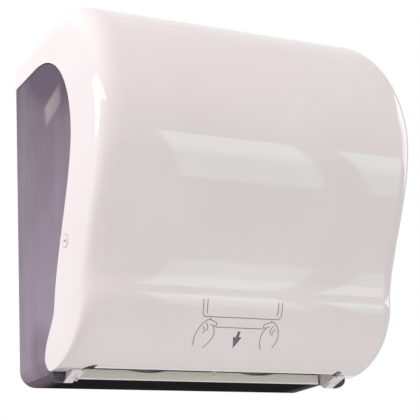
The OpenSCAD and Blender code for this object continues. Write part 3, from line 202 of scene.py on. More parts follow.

# Thick smoke tint of the hinge lugs: solid plastic lets no light through, and it is drawn darker still as painted
# shade, nearly black, with flow clouds about 4 mm across.
thick_smoke_shaded = blank("polycarbonate_smoke_thick_painted_shade")
place = add(thick_smoke_shaded, "ShaderNodeTexCoord")
clouds = add(thick_smoke_shaded, "ShaderNodeTexNoise", [("Vector", place.outputs["Object"])],
             Scale=1 / 0.004, Detail=3.0)
shade = add(thick_smoke_shaded, "ShaderNodeValToRGB", [("Fac", clouds.outputs["Fac"])])
shade.color_ramp.elements[0].position = 0.3
shade.color_ramp.elements[0].color = linear("#342f38")
shade.color_ramp.elements[1].position = 0.7
shade.color_ramp.elements[1].color = linear("#5a5260")
satin = add(thick_smoke_shaded, "ShaderNodeBsdfPrincipled", [("Base Color", shade.outputs["Color"])],
            Roughness=0.45, IOR=1.58, Specular_IOR_Level=0.2)
add(thick_smoke_shaded, "ShaderNodeOutputMaterial", [("Surface", satin.outputs["BSDF"])])


def settle(piece, body):
    bpy.context.view_layer.update()
    made = bpy.data.meshes.new_from_object(piece.evaluated_get(bpy.context.evaluated_depsgraph_get()))
    piece.modifiers.clear()
    piece.data = made
    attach(piece, body)


def round_edges(piece, width, sharper_than=40):
    edge = piece.modifiers.new("edge", "BEVEL")
    edge.width, edge.segments = width, 2
    edge.limit_method, edge.angle_limit = "ANGLE", math.radians(sharper_than)
    edge.use_clamp_overlap = True
    edge.harden_normals = True


def keep_flats(piece):
    even = piece.modifiers.new("even", "WEIGHTED_NORMAL")
    even.weight = 100


def softened(node, name, mats, pick=lambda face: 0):
    mesh = bpy.data.meshes.new(name)
    work = bmesh.new()
    work.from_mesh(nodes[node].data)
    bmesh.ops.remove_doubles(work, verts=work.verts, dist=1e-6)
    bmesh.ops.dissolve_limit(work, angle_limit=math.radians(0.5), verts=work.verts, edges=work.edges)
    bmesh.ops.recalc_face_normals(work, faces=work.faces)
    for face in work.faces:
        face.smooth = True
        face.material_index = pick(face)
    work.to_mesh(mesh)
    work.free()
    for mat in mats:
        mesh.materials.append(mat)
    piece = bpy.data.objects.new(name, mesh)
    scene.collection.objects.link(piece)
    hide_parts(node)
    return piece


# The lugs stand low in front at both ends. The tongue is the part of each side that is set in behind the rim.
LUG_X, LUG_FRONT, LUG_TOP = 0.145, -0.060, -0.187
TONGUE_IN, TONGUE_OUT = 0.1555, 0.1628
# The base and the tongue are drawn near black as painted shade, the tongue as the shaded gap behind the rim.
ON_SMOKE, ON_SHADE, ON_LUG = 0, 1, 2


def casing_skin(face):
    middle = face.calc_center_median()
    outward = face.normal.x * math.copysign(1, middle.x)
    if abs(middle.x) > LUG_X and middle.y < LUG_FRONT and middle.z < LUG_TOP:
        return ON_LUG
    on_tongue = outward > 0.9 and TONGUE_IN < abs(middle.x) < TONGUE_OUT
    return ON_SHADE if face.normal.z < -0.8 or on_tongue else ON_SMOKE


tub = softened("rear_casing", "rear_casing_tub", [smoke, shaded_base, thick_smoke_shaded], casing_skin)
round_edges(tub, 0.0008)
keep_flats(tub)
settle(tub, "casing")

# Shafts, pins and tie bars: drawn and ground steel, set in bores of the cheeks, the drum and the arms.
# Grinding leaves fine rings about 0.3 mm apart. They are drawn nearly 4 mm apart so that they show.
steel = blank("steel_drawn_ground")
place = add(steel, "ShaderNodeTexCoord")
rings = add(steel, "ShaderNodeTexWave", [("Vector", place.outputs["Object"])], bands_direction="X",
            Scale=math.tau / 20 / 0.00377, Distortion=1.5, Detail=2.0)
sheen = add(steel, "ShaderNodeMapRange", [("Value", rings.outputs["Fac"])], To_Min=0.2, To_Max=0.34)
metal = add(steel, "ShaderNodeBsdfPrincipled", [("Roughness", sheen.outputs["Result"])],
            Base_Color=linear("#b9babc"), Metallic=1.0)
add(steel, "ShaderNodeOutputMaterial", [("Surface", metal.outputs["BSDF"])])
dress("hinge_pins tie_bars yoke_pivot_rod drum_shaft spring_post crank_pin pinch_shaft left_pivot_pin"
      " right_pivot_pin left_hub_axle right_hub_axle cam_follower one_way_clutch", steel)

# Screws, shaft clips, spring eyes and lock plates: pressed or rolled from steel and zinc-plated.
# The plating gives a bright grey with mottled flakes about 2 mm across.
zinc = blank("steel_zinc_plated")
place = add(zinc, "ShaderNodeTexCoord")
flakes = add(zinc, "ShaderNodeTexVoronoi", [("Vector", place.outputs["Object"])], Scale=1 / 0.002)
shade = add(zinc, "ShaderNodeValToRGB", [("Fac", flakes.outputs["Distance"])])
shade.color_ramp.elements[0].color = linear("#9fa2a4")
shade.color_ramp.elements[1].color = linear("#c2c4c5")
metal = add(zinc, "ShaderNodeBsdfPrincipled", [("Base Color", shade.outputs["Color"])],
            Metallic=1.0, Roughness=0.36)
add(zinc, "ShaderNodeOutputMaterial", [("Surface", metal.outputs["BSDF"])])
dress("cheek_screws chute_screws shaft_clips blade_screws bracket_screws tongue_screw lock_sleeve lock_tongue"
      " lock_keeper spring_eyes", zinc)

# Chassis: two cheeks that carry the drum, screwed to the casing's back, and the drum's halves and the roll's arms.
# All are moulded in glass-filled nylon. The fibres leave a dull, slightly streaked grey.
nylon = blank("nylon_glass_filled_moulded")
place = add(nylon, "ShaderNodeTexCoord")
fibres = add(nylon, "ShaderNodeTexNoise", [("Vector", place.outputs["Object"])], Scale=1 / 0.0025, Detail=4.0)
shade = add(nylon, "ShaderNodeValToRGB", [("Fac", fibres.outputs["Fac"])])
shade.color_ramp.elements[0].position = 0.35
shade.color_ramp.elements[0].color = linear("#67696d")
shade.color_ramp.elements[1].position = 0.65
shade.color_ramp.elements[1].color = linear("#74767a")
skin = add(nylon, "ShaderNodeBump", [("Height", fibres.outputs["Fac"])], Strength=0.1, Distance=0.0004)
dull = add(nylon, "ShaderNodeBsdfPrincipled",
           [("Base Color", shade.outputs["Color"]), ("Normal", skin.outputs["Normal"])], Roughness=0.5, IOR=1.53)
add(nylon, "ShaderNodeOutputMaterial", [("Surface", dull.outputs["BSDF"])])
dress("left_cheek right_cheek left_drum_end right_drum_end left_arm_bracket right_arm_bracket left_roll_arm"
      " right_roll_arm drum_front_half drum_rear_half", nylon)

# Paper chute: a pale strip behind the slot, moulded in polypropylene and screwed to the casing's floor.
# Its skin is finely spark-eroded, with pits about 1 mm apart.
chute_pp = blank("polypropylene_off_white_spark_eroded")
place = add(chute_pp, "ShaderNodeTexCoord")
pits = add(chute_pp, "ShaderNodeTexNoise", [("Vector", place.outputs["Object"])], Scale=1 / 0.001, Detail=2.0)
shade = add(chute_pp, "ShaderNodeValToRGB", [("Fac", pits.outputs["Fac"])])
shade.color_ramp.elements[0].color = linear("#f3f1ea")
shade.color_ramp.elements[1].color = linear("#f9f7f0")
skin = add(chute_pp, "ShaderNodeBump", [("Height", pits.outputs["Fac"])], Strength=0.08, Distance=0.0003)
dull = add(chute_pp, "ShaderNodeBsdfPrincipled",
           [("Base Color", shade.outputs["Color"]), ("Normal", skin.outputs["Normal"])], Roughness=0.42, IOR=1.49)
add(chute_pp, "ShaderNodeOutputMaterial", [("Surface", dull.outputs["BSDF"])])
chute = softened("paper_chute", "paper_chute_strip", [chute_pp])

# Two shallow dips in the strip's upper edge let a finger reach the sheet. A small post near the middle parts the
# lip from the strip. Sizes are in millimetres, and heights count from the casing's floor, 200 mm below the middle
# of the wall screws.
FLOOR_BELOW = 200
STRIP_TOP, STRIP_REAR, STRIP_FRONT = 6.8, 75, 77.5
DIP_X, DIP_HALF, DIP_DEPTH = 61, 20.5, 2.2
CUT_OVER, CUT_PAST = 2, 0.4
POST_X, POST_HALF, POST_REAR, POST_FRONT = 12, 1.0, STRIP_REAR + 1, STRIP_FRONT + 3
POST_LOW, POST_TOP = 2.5, STRIP_TOP + 1.2


def in_metres(points):
    return (np.asarray(points, float) - [0, 0, FLOOR_BELOW]) / 1000


def new_piece(name, points, faces, mat):
    mesh = bpy.data.meshes.new(name)
    mesh.from_pydata([tuple(p) for p in points], [], [tuple(f) for f in faces])
    mesh.materials.append(mat)
    work = bmesh.new()
    work.from_mesh(mesh)
    bmesh.ops.recalc_face_normals(work, faces=work.faces)
    work.to_mesh(mesh)
    work.free()
    mesh.shade_smooth()
    mesh.set_sharp_from_angle(angle=math.radians(40))
    piece = bpy.data.objects.new(name, mesh)
    scene.collection.objects.link(piece)
    return piece


def cut(piece, points, faces):
    cutter = new_piece("cutter", in_metres(points), faces, piece.data.materials[0])
    boolean = piece.modifiers.new("cut", "BOOLEAN")
    boolean.operation, boolean.solver, boolean.object = "DIFFERENCE", "EXACT", cutter
    return cutter


def prism(outline, low, high):
    count = len(outline)
    points = [(*p, low) for p in outline] + [(*p, high) for p in outline]
    faces = [tuple(range(count)), tuple(range(2 * count - 1, count - 1, -1))]
    faces += [(k, (k + 1) % count, count + (k + 1) % count, count + k) for k in range(count)]
    return np.array(points), faces


sweep = np.linspace(-1, 1, 17)
dip = np.column_stack((DIP_HALF * sweep, STRIP_TOP - DIP_DEPTH * (1 - sweep ** 2)))
dip = [*dip, (DIP_HALF, STRIP_TOP + CUT_OVER), (-DIP_HALF, STRIP_TOP + CUT_OVER)]
points, faces = prism(dip, STRIP_REAR - CUT_PAST, STRIP_FRONT + CUT_PAST)
points = points[:, [0, 2, 1]] * [1, -1, 1]
cutters = [cut(chute, points + [x, 0, 0], faces) for x in (-DIP_X, DIP_X)]
round_edges(chute, 0.0006)
keep_flats(chute)
settle(chute, "casing")
for cutter in cutters:
    bpy.data.objects.remove(cutter)
post = [(-POST_HALF, -POST_REAR), (POST_HALF, -POST_REAR), (POST_HALF, -POST_FRONT), (-POST_HALF, -POST_FRONT)]
points, faces = prism(post, POST_LOW, POST_TOP)
post = new_piece("chute_post", in_metres(points + [POST_X, 0, 0]), faces, chute_pp)
round_edges(post, 0.0004)
settle(post, "casing")

# Left bush, cam plate, blade carrier and crank disc: moulded in ivory acetal, which runs without oil.
# It is waxy to the eye, with faint flow clouds 15 mm across.
acetal = blank("acetal_ivory_moulded")
place = add(acetal, "ShaderNodeTexCoord")
clouds = add(acetal, "ShaderNodeTexNoise", [("Vector", place.outputs["Object"])], Scale=1 / 0.015, Detail=2.0)
shade = add(acetal, "ShaderNodeValToRGB", [("Fac", clouds.outputs["Fac"])])
shade.color_ramp.elements[0].color = linear("#d9d2bf")
shade.color_ramp.elements[1].color = linear("#e6e0d0")
waxy = add(acetal, "ShaderNodeBsdfPrincipled", [("Base Color", shade.outputs["Color"])],
           Roughness=0.38, IOR=1.48)
add(acetal, "ShaderNodeOutputMaterial", [("Surface", waxy.outputs["BSDF"])])
dress("left_bush cam_plate blade_carrier crank_disc", acetal)

# Roll guides: a pale acetal pad snapped on the inside of each side wall. It keeps the roll's edge off the wall,
# and it is what shows through the smoke tint.
PAD_IN, PAD_OUT, PAD_CORNER = 159.6, 161.7, 5
half_long, half_tall = (1000 * h for h in GUIDE_HALF[1:])
pad = []
for quarter, (end, edge) in enumerate(((1, 1), (-1, 1), (-1, -1), (1, -1))):
    for a in np.radians(np.linspace(90 * quarter, 90 * quarter + 90, 7)):
        pad.append((end * (half_long - PAD_CORNER) + PAD_CORNER * math.cos(a),
                    edge * (half_tall - PAD_CORNER) + PAD_CORNER * math.sin(a)))
lean, rise = math.cos(GUIDE_TILT), math.sin(GUIDE_TILT)
pad_depth, pad_height = 1000 * GUIDE_AT[1], 1000 * GUIDE_AT[2] + FLOOR_BELOW
pad = [(pad_depth + a * lean - b * rise, pad_height + a * rise + b * lean) for a, b in pad]
for side, name in ((-1, "left_roll_guide"), (1, "right_roll_guide")):
    points, faces = prism(pad, PAD_IN, PAD_OUT)
    guide = new_piece(name, in_metres(points[:, [2, 0, 1]] * [side, 1, 1]), faces, acetal)
    round_edges(guide, 0.0006)
    settle(guide, "casing")

# Grip strips on the drum and tyres on the pinch roller: black rubber, moulded and stretched or bonded in place.
# Its skin is matt and dusty, with specks about 1.5 mm apart.
rubber = blank("rubber_black_moulded")
place = add(rubber, "ShaderNodeTexCoord")
dust = add(rubber, "ShaderNodeTexNoise", [("Vector", place.outputs["Object"])], Scale=1 / 0.0015, Detail=3.0)
shade = add(rubber, "ShaderNodeValToRGB", [("Fac", dust.outputs["Fac"])])
shade.color_ramp.elements[0].color = linear("#1b1b1c")
shade.color_ramp.elements[1].color = linear("#2c2b2b")
skin = add(rubber, "ShaderNodeBump", [("Height", dust.outputs["Fac"])], Strength=0.15, Distance=0.0003)
matt = add(rubber, "ShaderNodeBsdfPrincipled",
           [("Base Color", shade.outputs["Color"]), ("Normal", skin.outputs["Normal"])], Roughness=0.72, IOR=1.52)
add(rubber, "ShaderNodeOutputMaterial", [("Surface", matt.outputs["BSDF"])])
dress("grip_strips pinch_tyres", rubber)

# Hand wheel: a fluted knob on the shaft's left end, by which the first sheet is fed through.
# It is moulded in green polypropylene, a little dull, with mould pits about 1.2 mm apart.
knob = blank("polypropylene_green_moulded")
place = add(knob, "ShaderNodeTexCoord")
pits = add(knob, "ShaderNodeTexNoise", [("Vector", place.outputs["Object"])], Scale=1 / 0.0012, Detail=2.0)
shade = add(knob, "ShaderNodeValToRGB", [("Fac", pits.outputs["Fac"])])
shade.color_ramp.elements[0].color = linear("#2f7d5d")
shade.color_ramp.elements[1].color = linear("#3b8f6c")
dull = add(knob, "ShaderNodeBsdfPrincipled", [("Base Color", shade.outputs["Color"])],
           Roughness=0.4, IOR=1.49)
add(knob, "ShaderNodeOutputMaterial", [("Surface", dull.outputs["BSDF"])])
dress("hand_wheel", knob)

# Cutter blade: a toothed strip of stainless steel, ground across its length and screwed to its carrier.
# The grinding lines give a fine sheen. They are drawn 5 mm apart so that they show.
blade = blank("stainless_steel_ground_edge")
place = add(blade, "ShaderNodeTexCoord")
lines = add(blade, "ShaderNodeTexWave", [("Vector", place.outputs["Object"])], bands_direction="X",
            Scale=math.tau / 20 / 0.00503, Distortion=0.6)
sheen = add(blade, "ShaderNodeMapRange", [("Value", lines.outputs["Fac"])], To_Min=0.16, To_Max=0.3)
metal = add(blade, "ShaderNodeBsdfPrincipled", [("Roughness", sheen.outputs["Result"])],
            Base_Color=linear("#c4c6c9"), Metallic=1.0)
add(blade, "ShaderNodeOutputMaterial", [("Surface", metal.outputs["BSDF"])])
dress("cutter_blade", blade)

# Drive: a crank and a tension spring in a closed housing on the right cheek, and the yoke of the pinch roller.
# Housing, cap and yoke are black nylon with a fine moulded grain about 1 mm across.
dark_nylon = blank("nylon_black_moulded")
place = add(dark_nylon, "ShaderNodeTexCoord")
pits = add(dark_nylon, "ShaderNodeTexNoise", [("Vector", place.outputs["Object"])],
           Scale=1 / 0.001, Detail=2.0)
shade = add(dark_nylon, "ShaderNodeValToRGB", [("Fac", pits.outputs["Fac"])])
shade.color_ramp.elements[0].color = linear("#2c2c2f")
shade.color_ramp.elements[1].color = linear("#3a3a3d")
skin = add(dark_nylon, "ShaderNodeBump", [("Height", pits.outputs["Fac"])], Strength=0.1, Distance=0.0003)
dull = add(dark_nylon, "ShaderNodeBsdfPrincipled",
           [("Base Color", shade.outputs["Color"]), ("Normal", skin.outputs["Normal"])], Roughness=0.45, IOR=1.53)
add(dark_nylon, "ShaderNodeOutputMaterial", [("Surface", dull.outputs["BSDF"])])
dress("spring_housing spring_cap pinch_yoke", dark_nylon)

# Springs: the drive's tension spring, held by its eyes between crank and post, and two torsion springs on the
# yoke's rod that press the pinch roller down. All are wound from round steel wire.
DRIVE_X, DRIVE_DEPTH, DRIVE_FOOT, DRIVE_HEAD = 136, 128, 106, 163
DRIVE_R, DRIVE_WIRE_R, DRIVE_TURNS = 5.5, 0.9, 20
YOKE_X, YOKE_DEPTH, YOKE_HEIGHT = 93.5, 64, 138
YOKE_R, YOKE_WIRE_R, YOKE_PITCH, YOKE_TURNED = 5, 0.7, 2.0, math.radians(2179.3)
LEG_LONG, FRONT_LEG_WAY = 20, (0, -0.9438, -0.3306)


def wire(path, radius, sides=10):
    path = np.asarray(path, float)
    ahead_of = np.gradient(path, axis=0)
    ahead_of /= np.linalg.norm(ahead_of, axis=1)[:, None]
    any_way = [0.31, 0.73, 0.6]
    side = np.cross(ahead_of[0], any_way)
    rings_made, faces = [], []
    for point, along in zip(path, ahead_of):
        side = side - along * (side @ along)
        side /= np.linalg.norm(side)
        other = np.cross(along, side)
        turn = 2 * np.pi * np.arange(sides)[:, None] / sides
        rings_made.append(point + radius * (np.cos(turn) * side + np.sin(turn) * other))
    for i in range(len(path) - 1):
        for k in range(sides):
            after = (k + 1) % sides
            faces.append((i * sides + k, i * sides + after, (i + 1) * sides + after, (i + 1) * sides + k))
    faces.append(tuple(range(sides)))
    faces.append(tuple((len(path) - 1) * sides + k for k in range(sides)))
    return np.concatenate(rings_made), faces


turn = np.linspace(0, 2 * np.pi * DRIVE_TURNS, 20 * DRIVE_TURNS + 1)
drive_path = np.column_stack((DRIVE_X + DRIVE_R * np.cos(turn), -DRIVE_DEPTH + DRIVE_R * np.sin(turn),
                              np.linspace(DRIVE_FOOT, DRIVE_HEAD, len(turn))))
points, faces = wire(drive_path, DRIVE_WIRE_R)
drive_spring = new_piece("drive_spring_coil", in_metres(points), faces, steel)
settle(drive_spring, "spring_link")
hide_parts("drive_spring")

turn = np.linspace(0, YOKE_TURNED, 121)
coil = np.column_stack((YOKE_X + YOKE_PITCH * turn / (2 * np.pi), -YOKE_DEPTH - YOKE_R * np.sin(turn),
                        YOKE_HEIGHT + YOKE_R * np.cos(turn)))
rear_leg = coil[0] + np.linspace(LEG_LONG, 1, 8)[:, None] * [0, 1, 0]
front_leg = coil[-1] + np.linspace(1, LEG_LONG, 8)[:, None] * FRONT_LEG_WAY
yoke_path = np.concatenate((rear_leg, coil, front_leg))
left_points, left_faces = wire(yoke_path * [-1, 1, 1], YOKE_WIRE_R)
right_points, right_faces = wire(yoke_path, YOKE_WIRE_R)
points = np.concatenate((left_points, right_points))
faces = left_faces + [tuple(i + len(left_points) for i in f) for f in right_faces]
yoke_springs = new_piece("yoke_spring_coils", in_metres(points), faces, steel)
settle(yoke_springs, "yoke")
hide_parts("yoke_springs")

# Roll hubs: plugs on the arms' axles that turn with the ends of the roll's core.
# They are moulded in blue polypropylene, a little dull, with mould pits about 1.2 mm apart.
hub_pp = blank("polypropylene_blue_moulded")
place = add(hub_pp, "ShaderNodeTexCoord")
pits = add(hub_pp, "ShaderNodeTexNoise", [("Vector", place.outputs["Object"])], Scale=1 / 0.0012, Detail=2.0)
shade = add(hub_pp, "ShaderNodeValToRGB", [("Fac", pits.outputs["Fac"])])
shade.color_ramp.elements[0].color = linear("#43648f")
shade.color_ramp.elements[1].color = linear("#4f72a0")
dull = add(hub_pp, "ShaderNodeBsdfPrincipled", [("Base Color", shade.outputs["Color"])],
           Roughness=0.4, IOR=1.49)
add(hub_pp, "ShaderNodeOutputMaterial", [("Surface", dull.outputs["BSDF"])])
dress("left_hub right_hub", hub_pp)

# Front cover: one shell of white ABS from a polished mould, hinged at its foot. Its front swells into a belly
# and draws in to a waist, all its edges are round, and its sides end in a curved rim that meets the casing.
# Behind the lip a flat sole closes it, and the slot's mouth is cut through both.
BODY_HALF, COVER_WALL = 165, 3
EDGE_R, CORNER_R, FOOT_R = 24, 17, 16
TOP_REAR, TOP_FRONT, TOP_HEIGHT = 0.5, 112, 355
BELLY_DEPTH, BELLY_HEIGHT = 242, 222
WAIST_DEPTH, WAIST_HEIGHT = 186, 62
LIP_DEPTH, LIP_HEIGHT = 106, 2
RIM_FLAT, RIM_HEIGHT, RIM_BELLY, RIM_WAIST, RIM_FOOT, RIM_TOE = 60, 314.5, 156, 103, (75, 15), (87.8, 2)
TOE_SHARE = 7 / 12

# A curve is a cubic between two of these points. Its pulls, as shares of the way or in millimetres, say how far it
# keeps its direction at each end, and its lean is how much the waist tips from upright.
SHOULDER_PULL, BELLY_PULL, WAIST_UP, WAIST_DOWN, LIP_PULL = 0.515, 0.356, 44.8, 30, 0.55
WAIST_LEAN = 0.08
RIM_SHOULDER_PULL, RIM_BELLY_DOWN, RIM_FOOT_PULL, RIM_LEAN = 0.58, 48, 18.8, 0.146
RIM_TOE_PULLS = [(75, 11.1), (81.4, 3.6)]


def bezier(p, t):
    p, t = np.asarray(p, float), np.asarray(t, float)[:, None]
    return (1 - t) ** 3 * p[0] + 3 * t * (1 - t) ** 2 * p[1] + 3 * t * t * (1 - t) * p[2] + t ** 3 * p[3]


def bezier_left(p, t):
    p, t = np.asarray(p, float), np.asarray(t, float)[:, None]
    d = (1 - t) ** 2 * (p[1] - p[0]) + 2 * t * (1 - t) * (p[2] - p[1]) + t * t * (p[3] - p[2])
    return np.column_stack((-d[:, 1], d[:, 0])) / np.linalg.norm(d, axis=1)[:, None]


belly, waist = (BELLY_DEPTH, BELLY_HEIGHT), (WAIST_DEPTH, WAIST_HEIGHT)
shoulder_curve = [(TOP_FRONT, TOP_HEIGHT),
                  (TOP_FRONT + SHOULDER_PULL * (BELLY_DEPTH - TOP_FRONT), TOP_HEIGHT),
                  (BELLY_DEPTH, BELLY_HEIGHT + SHOULDER_PULL * (TOP_HEIGHT - BELLY_HEIGHT)), belly]
belly_curve = [belly, (BELLY_DEPTH, BELLY_HEIGHT - BELLY_PULL * (BELLY_HEIGHT - WAIST_HEIGHT)),
               (WAIST_DEPTH + WAIST_LEAN * WAIST_UP, WAIST_HEIGHT + WAIST_UP), waist]
foot_curve = [waist, (WAIST_DEPTH - WAIST_LEAN * WAIST_DOWN, WAIST_HEIGHT - WAIST_DOWN),
              (LIP_DEPTH + LIP_PULL * (WAIST_DEPTH - LIP_DEPTH), LIP_HEIGHT), (LIP_DEPTH, LIP_HEIGHT)]
rim_belly, rim_waist = (RIM_BELLY, BELLY_HEIGHT), (RIM_WAIST, WAIST_HEIGHT)
rim_shoulder_curve = [(RIM_FLAT, RIM_HEIGHT),
                      (RIM_FLAT + RIM_SHOULDER_PULL * (RIM_BELLY - RIM_FLAT), RIM_HEIGHT),
                      (RIM_BELLY, BELLY_HEIGHT + RIM_SHOULDER_PULL * (RIM_HEIGHT - BELLY_HEIGHT)), rim_belly]
rim_belly_curve = [rim_belly, (RIM_BELLY, BELLY_HEIGHT - RIM_BELLY_DOWN),
                   (RIM_WAIST + RIM_LEAN * RIM_BELLY_DOWN, WAIST_HEIGHT + RIM_BELLY_DOWN), rim_waist]
rim_foot_curve = [rim_waist, (RIM_WAIST - RIM_LEAN * RIM_FOOT_PULL, WAIST_HEIGHT - RIM_FOOT_PULL),
                  (RIM_FOOT[0], RIM_FOOT[1] + RIM_FOOT_PULL), RIM_FOOT]
rim_toe_curve = [RIM_FOOT, *RIM_TOE_PULLS, RIM_TOE]

steps = np.linspace(0, 1, 45)
flat = np.linspace(0, 1, 8)[:-1]
profile = [np.column_stack((TOP_REAR + (TOP_FRONT - TOP_REAR) * flat, np.full(len(flat), TOP_HEIGHT)))]
outward = [np.tile([0.0, 1.0], (len(flat), 1))]
rim = [np.column_stack((TOP_REAR + (RIM_FLAT - TOP_REAR) * flat, np.full(len(flat), RIM_HEIGHT)))]
for curve, share in ((shoulder_curve, steps[:-1]), (belly_curve, steps[:-1]), (foot_curve, steps)):
    profile.append(bezier(curve, share))
    outward.append(bezier_left(curve, share))
rim.append(bezier(rim_shoulder_curve, steps[:-1]))
rim.append(bezier(rim_belly_curve, steps[:-1]))
above = steps[steps <= TOE_SHARE]
below = steps[steps > TOE_SHARE]
rim.append(bezier(rim_foot_curve, above / TOE_SHARE))
rim.append(bezier(rim_toe_curve, (below - TOE_SHARE) / (1 - TOE_SHARE)))
profile, outward, rim = (np.concatenate(a) for a in (profile, outward, rim))

round_angles = np.radians(np.linspace(90, 0, 15))
side_shares = np.linspace(0, 1, 6)[:-1]
rows = len(profile)


def shell_row(i, thick):
    normal = outward[i]
    start = profile[i] - thick * normal
    inward = normal if normal[1] > 0 else np.array([1.0, 0.0])
    round_r = CORNER_R + ((EDGE_R if normal[1] > 0 else FOOT_R) - CORNER_R) * abs(normal[1])
    r = round_r - thick
    half = []
    edge = start - r * inward
    rim_at = rim[i] + [0, thick if i == rows - 1 else 0]
    for share in side_shares:
        q = rim_at + share * (edge - rim_at)
        half.append((BODY_HALF - thick, q[0], q[1]))
    for a in round_angles:
        q = start - r * (1 - math.cos(a)) * inward
        half.append((BODY_HALF - round_r + r * math.sin(a), q[0], q[1]))
    left = [(-x, -d, z) for x, d, z in half]
    right = [(x, -d, z) for x, d, z in reversed(half)]
    return left + right


outer = [shell_row(i, 0) for i in range(rows)]
inner = [shell_row(i, COVER_WALL) for i in range(rows)]
cols = len(outer[0])
points = np.array(outer + inner).reshape(-1, 3)
skin_size = rows * cols
faces = []
for i in range(rows - 1):
    for j in range(cols - 1):
        a, b, c, d = i * cols + j, i * cols + j + 1, (i + 1) * cols + j + 1, (i + 1) * cols + j
        faces.append((a, b, c, d))
        faces.append((skin_size + d, skin_size + c, skin_size + b, skin_size + a))
    for j in (0, cols - 1):
        a, b = i * cols + j, (i + 1) * cols + j
        faces.append((a, b, skin_size + b, skin_size + a))
for j in range(cols - 1):
    faces.append((j, j + 1, skin_size + j + 1, skin_size + j))
lip_row = (rows - 1) * cols
faces.append([lip_row + j for j in range(cols)])
faces.append([skin_size + lip_row + j for j in reversed(range(cols))])
faces.append((lip_row, lip_row + cols - 1, skin_size + lip_row + cols - 1, skin_size + lip_row))

# ABS from a polished mould: high gloss, a trace of pink in the white, and the faint orange peel of a moulded
# skin, about 6 mm across.
abs_white = blank("abs_white_polished")
place = add(abs_white, "ShaderNodeTexCoord")
peel = add(abs_white, "ShaderNodeTexNoise", [("Vector", place.outputs["Object"])],
           Scale=1 / 0.006, Detail=1.0)
skin = add(abs_white, "ShaderNodeBump", [("Height", peel.outputs["Fac"])], Strength=0.02, Distance=0.0003)
tone = add(abs_white, "ShaderNodeTexNoise", [("Vector", place.outputs["Object"])], Scale=1 / 0.12, Detail=2.0)
shade = add(abs_white, "ShaderNodeValToRGB", [("Fac", tone.outputs["Fac"])])
shade.color_ramp.elements[0].position = 0.3
shade.color_ramp.elements[0].color = linear("#efe8ea")
shade.color_ramp.elements[1].position = 0.7
shade.color_ramp.elements[1].color = linear("#f3edee")
gloss = add(abs_white, "ShaderNodeBsdfPrincipled",
            [("Base Color", shade.outputs["Color"]), ("Normal", skin.outputs["Normal"])],
            Roughness=0.035, IOR=1.54)
add(abs_white, "ShaderNodeOutputMaterial", [("Surface", gloss.outputs["BSDF"])])

# The lip's bead is drawn whiter than the shell as a painted highlight where it catches light from below, and the
# lock's collar is a warm grey. Both are faintly mottled, about 8 mm across.
bead_painted_highlight, abs_collar = blank("abs_white_painted_highlight"), blank("abs_warm_grey_satin")
for mat, low, high in ((bead_painted_highlight, "#fafaf5", "#fdfdf9"), (abs_collar, "#c9bfbd", "#d4cbc8")):
    place = add(mat, "ShaderNodeTexCoord")
    mottle = add(mat, "ShaderNodeTexNoise", [("Vector", place.outputs["Object"])],
                 Scale=1 / 0.008, Detail=2.0)
    shade = add(mat, "ShaderNodeValToRGB", [("Fac", mottle.outputs["Fac"])])
    shade.color_ramp.elements[0].color = linear(low)
    shade.color_ramp.elements[1].color = linear(high)
    gloss = add(mat, "ShaderNodeBsdfPrincipled", [("Base Color", shade.outputs["Color"])],
                Roughness=0.25, IOR=1.54)
    add(mat, "ShaderNodeOutputMaterial", [("Surface", gloss.outputs["BSDF"])])

cover = new_piece("front_cover_shell", in_metres(points), faces, abs_white)

# The mouth ends in a rounded ear on each side. The lock's hole leaves a fine ring around the barrel.
ARM_X, EAR_X, EAR_W, EAR_ROOT, EAR_D = 140, 130.5, 9.5, 108, 122
MOUTH_REAR, MOUTH_D, MOUTH_LOW, MOUTH_HIGH = 86.8, 113, 0.2, 8
LOCK_DEPTH, LOCK_HEIGHT, LOCK_HOLE_R, HOLE_REACH = 135, 116, 6.5, 8
turn = np.radians(np.linspace(0, 90, 13))
half = [(ARM_X, -MOUTH_REAR)]
half += [(EAR_X + EAR_W * math.cos(a), -EAR_ROOT - (EAR_D - EAR_ROOT) * math.sin(a)) for a in turn]
half.append((EAR_X, -MOUTH_D))
mouth = cut(cover, *prism(half + [(-x, y) for x, y in reversed(half)], MOUTH_LOW, MOUTH_HIGH))
turn = np.radians(np.arange(0, 360, 7.5))
hole_edge = np.column_stack((LOCK_HOLE_R * np.cos(turn), LOCK_HOLE_R * np.sin(turn)))
points, faces = prism(hole_edge, -HOLE_REACH, HOLE_REACH)
hole = cut(cover, points[:, [2, 0, 1]] + [-BODY_HALF, -LOCK_DEPTH, LOCK_HEIGHT], faces)
round_edges(cover, 0.0006)
settle(cover, "cover")
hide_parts("front_cover")
for cutter in (mouth, hole):
    bpy.data.objects.remove(cutter)

# Lip bead: a round bead of the same white ABS along the mouth's front edge, moulded with the cover.
# It stiffens the lip, and its whiter colour is a painted highlight.
BEAD_HEIGHT, BEAD_R, BEAD_SIDES = 3.5, 1.8, 24
ends = np.linspace(-1, 1, 9)
bead_path = np.column_stack((EAR_X * ends, np.full(9, -MOUTH_D), np.full(9, BEAD_HEIGHT)))
points, faces = wire(bead_path, BEAD_R, BEAD_SIDES)
bead = new_piece("lip_bead", in_metres(points), faces, bead_painted_highlight)
settle(bead, "cover")

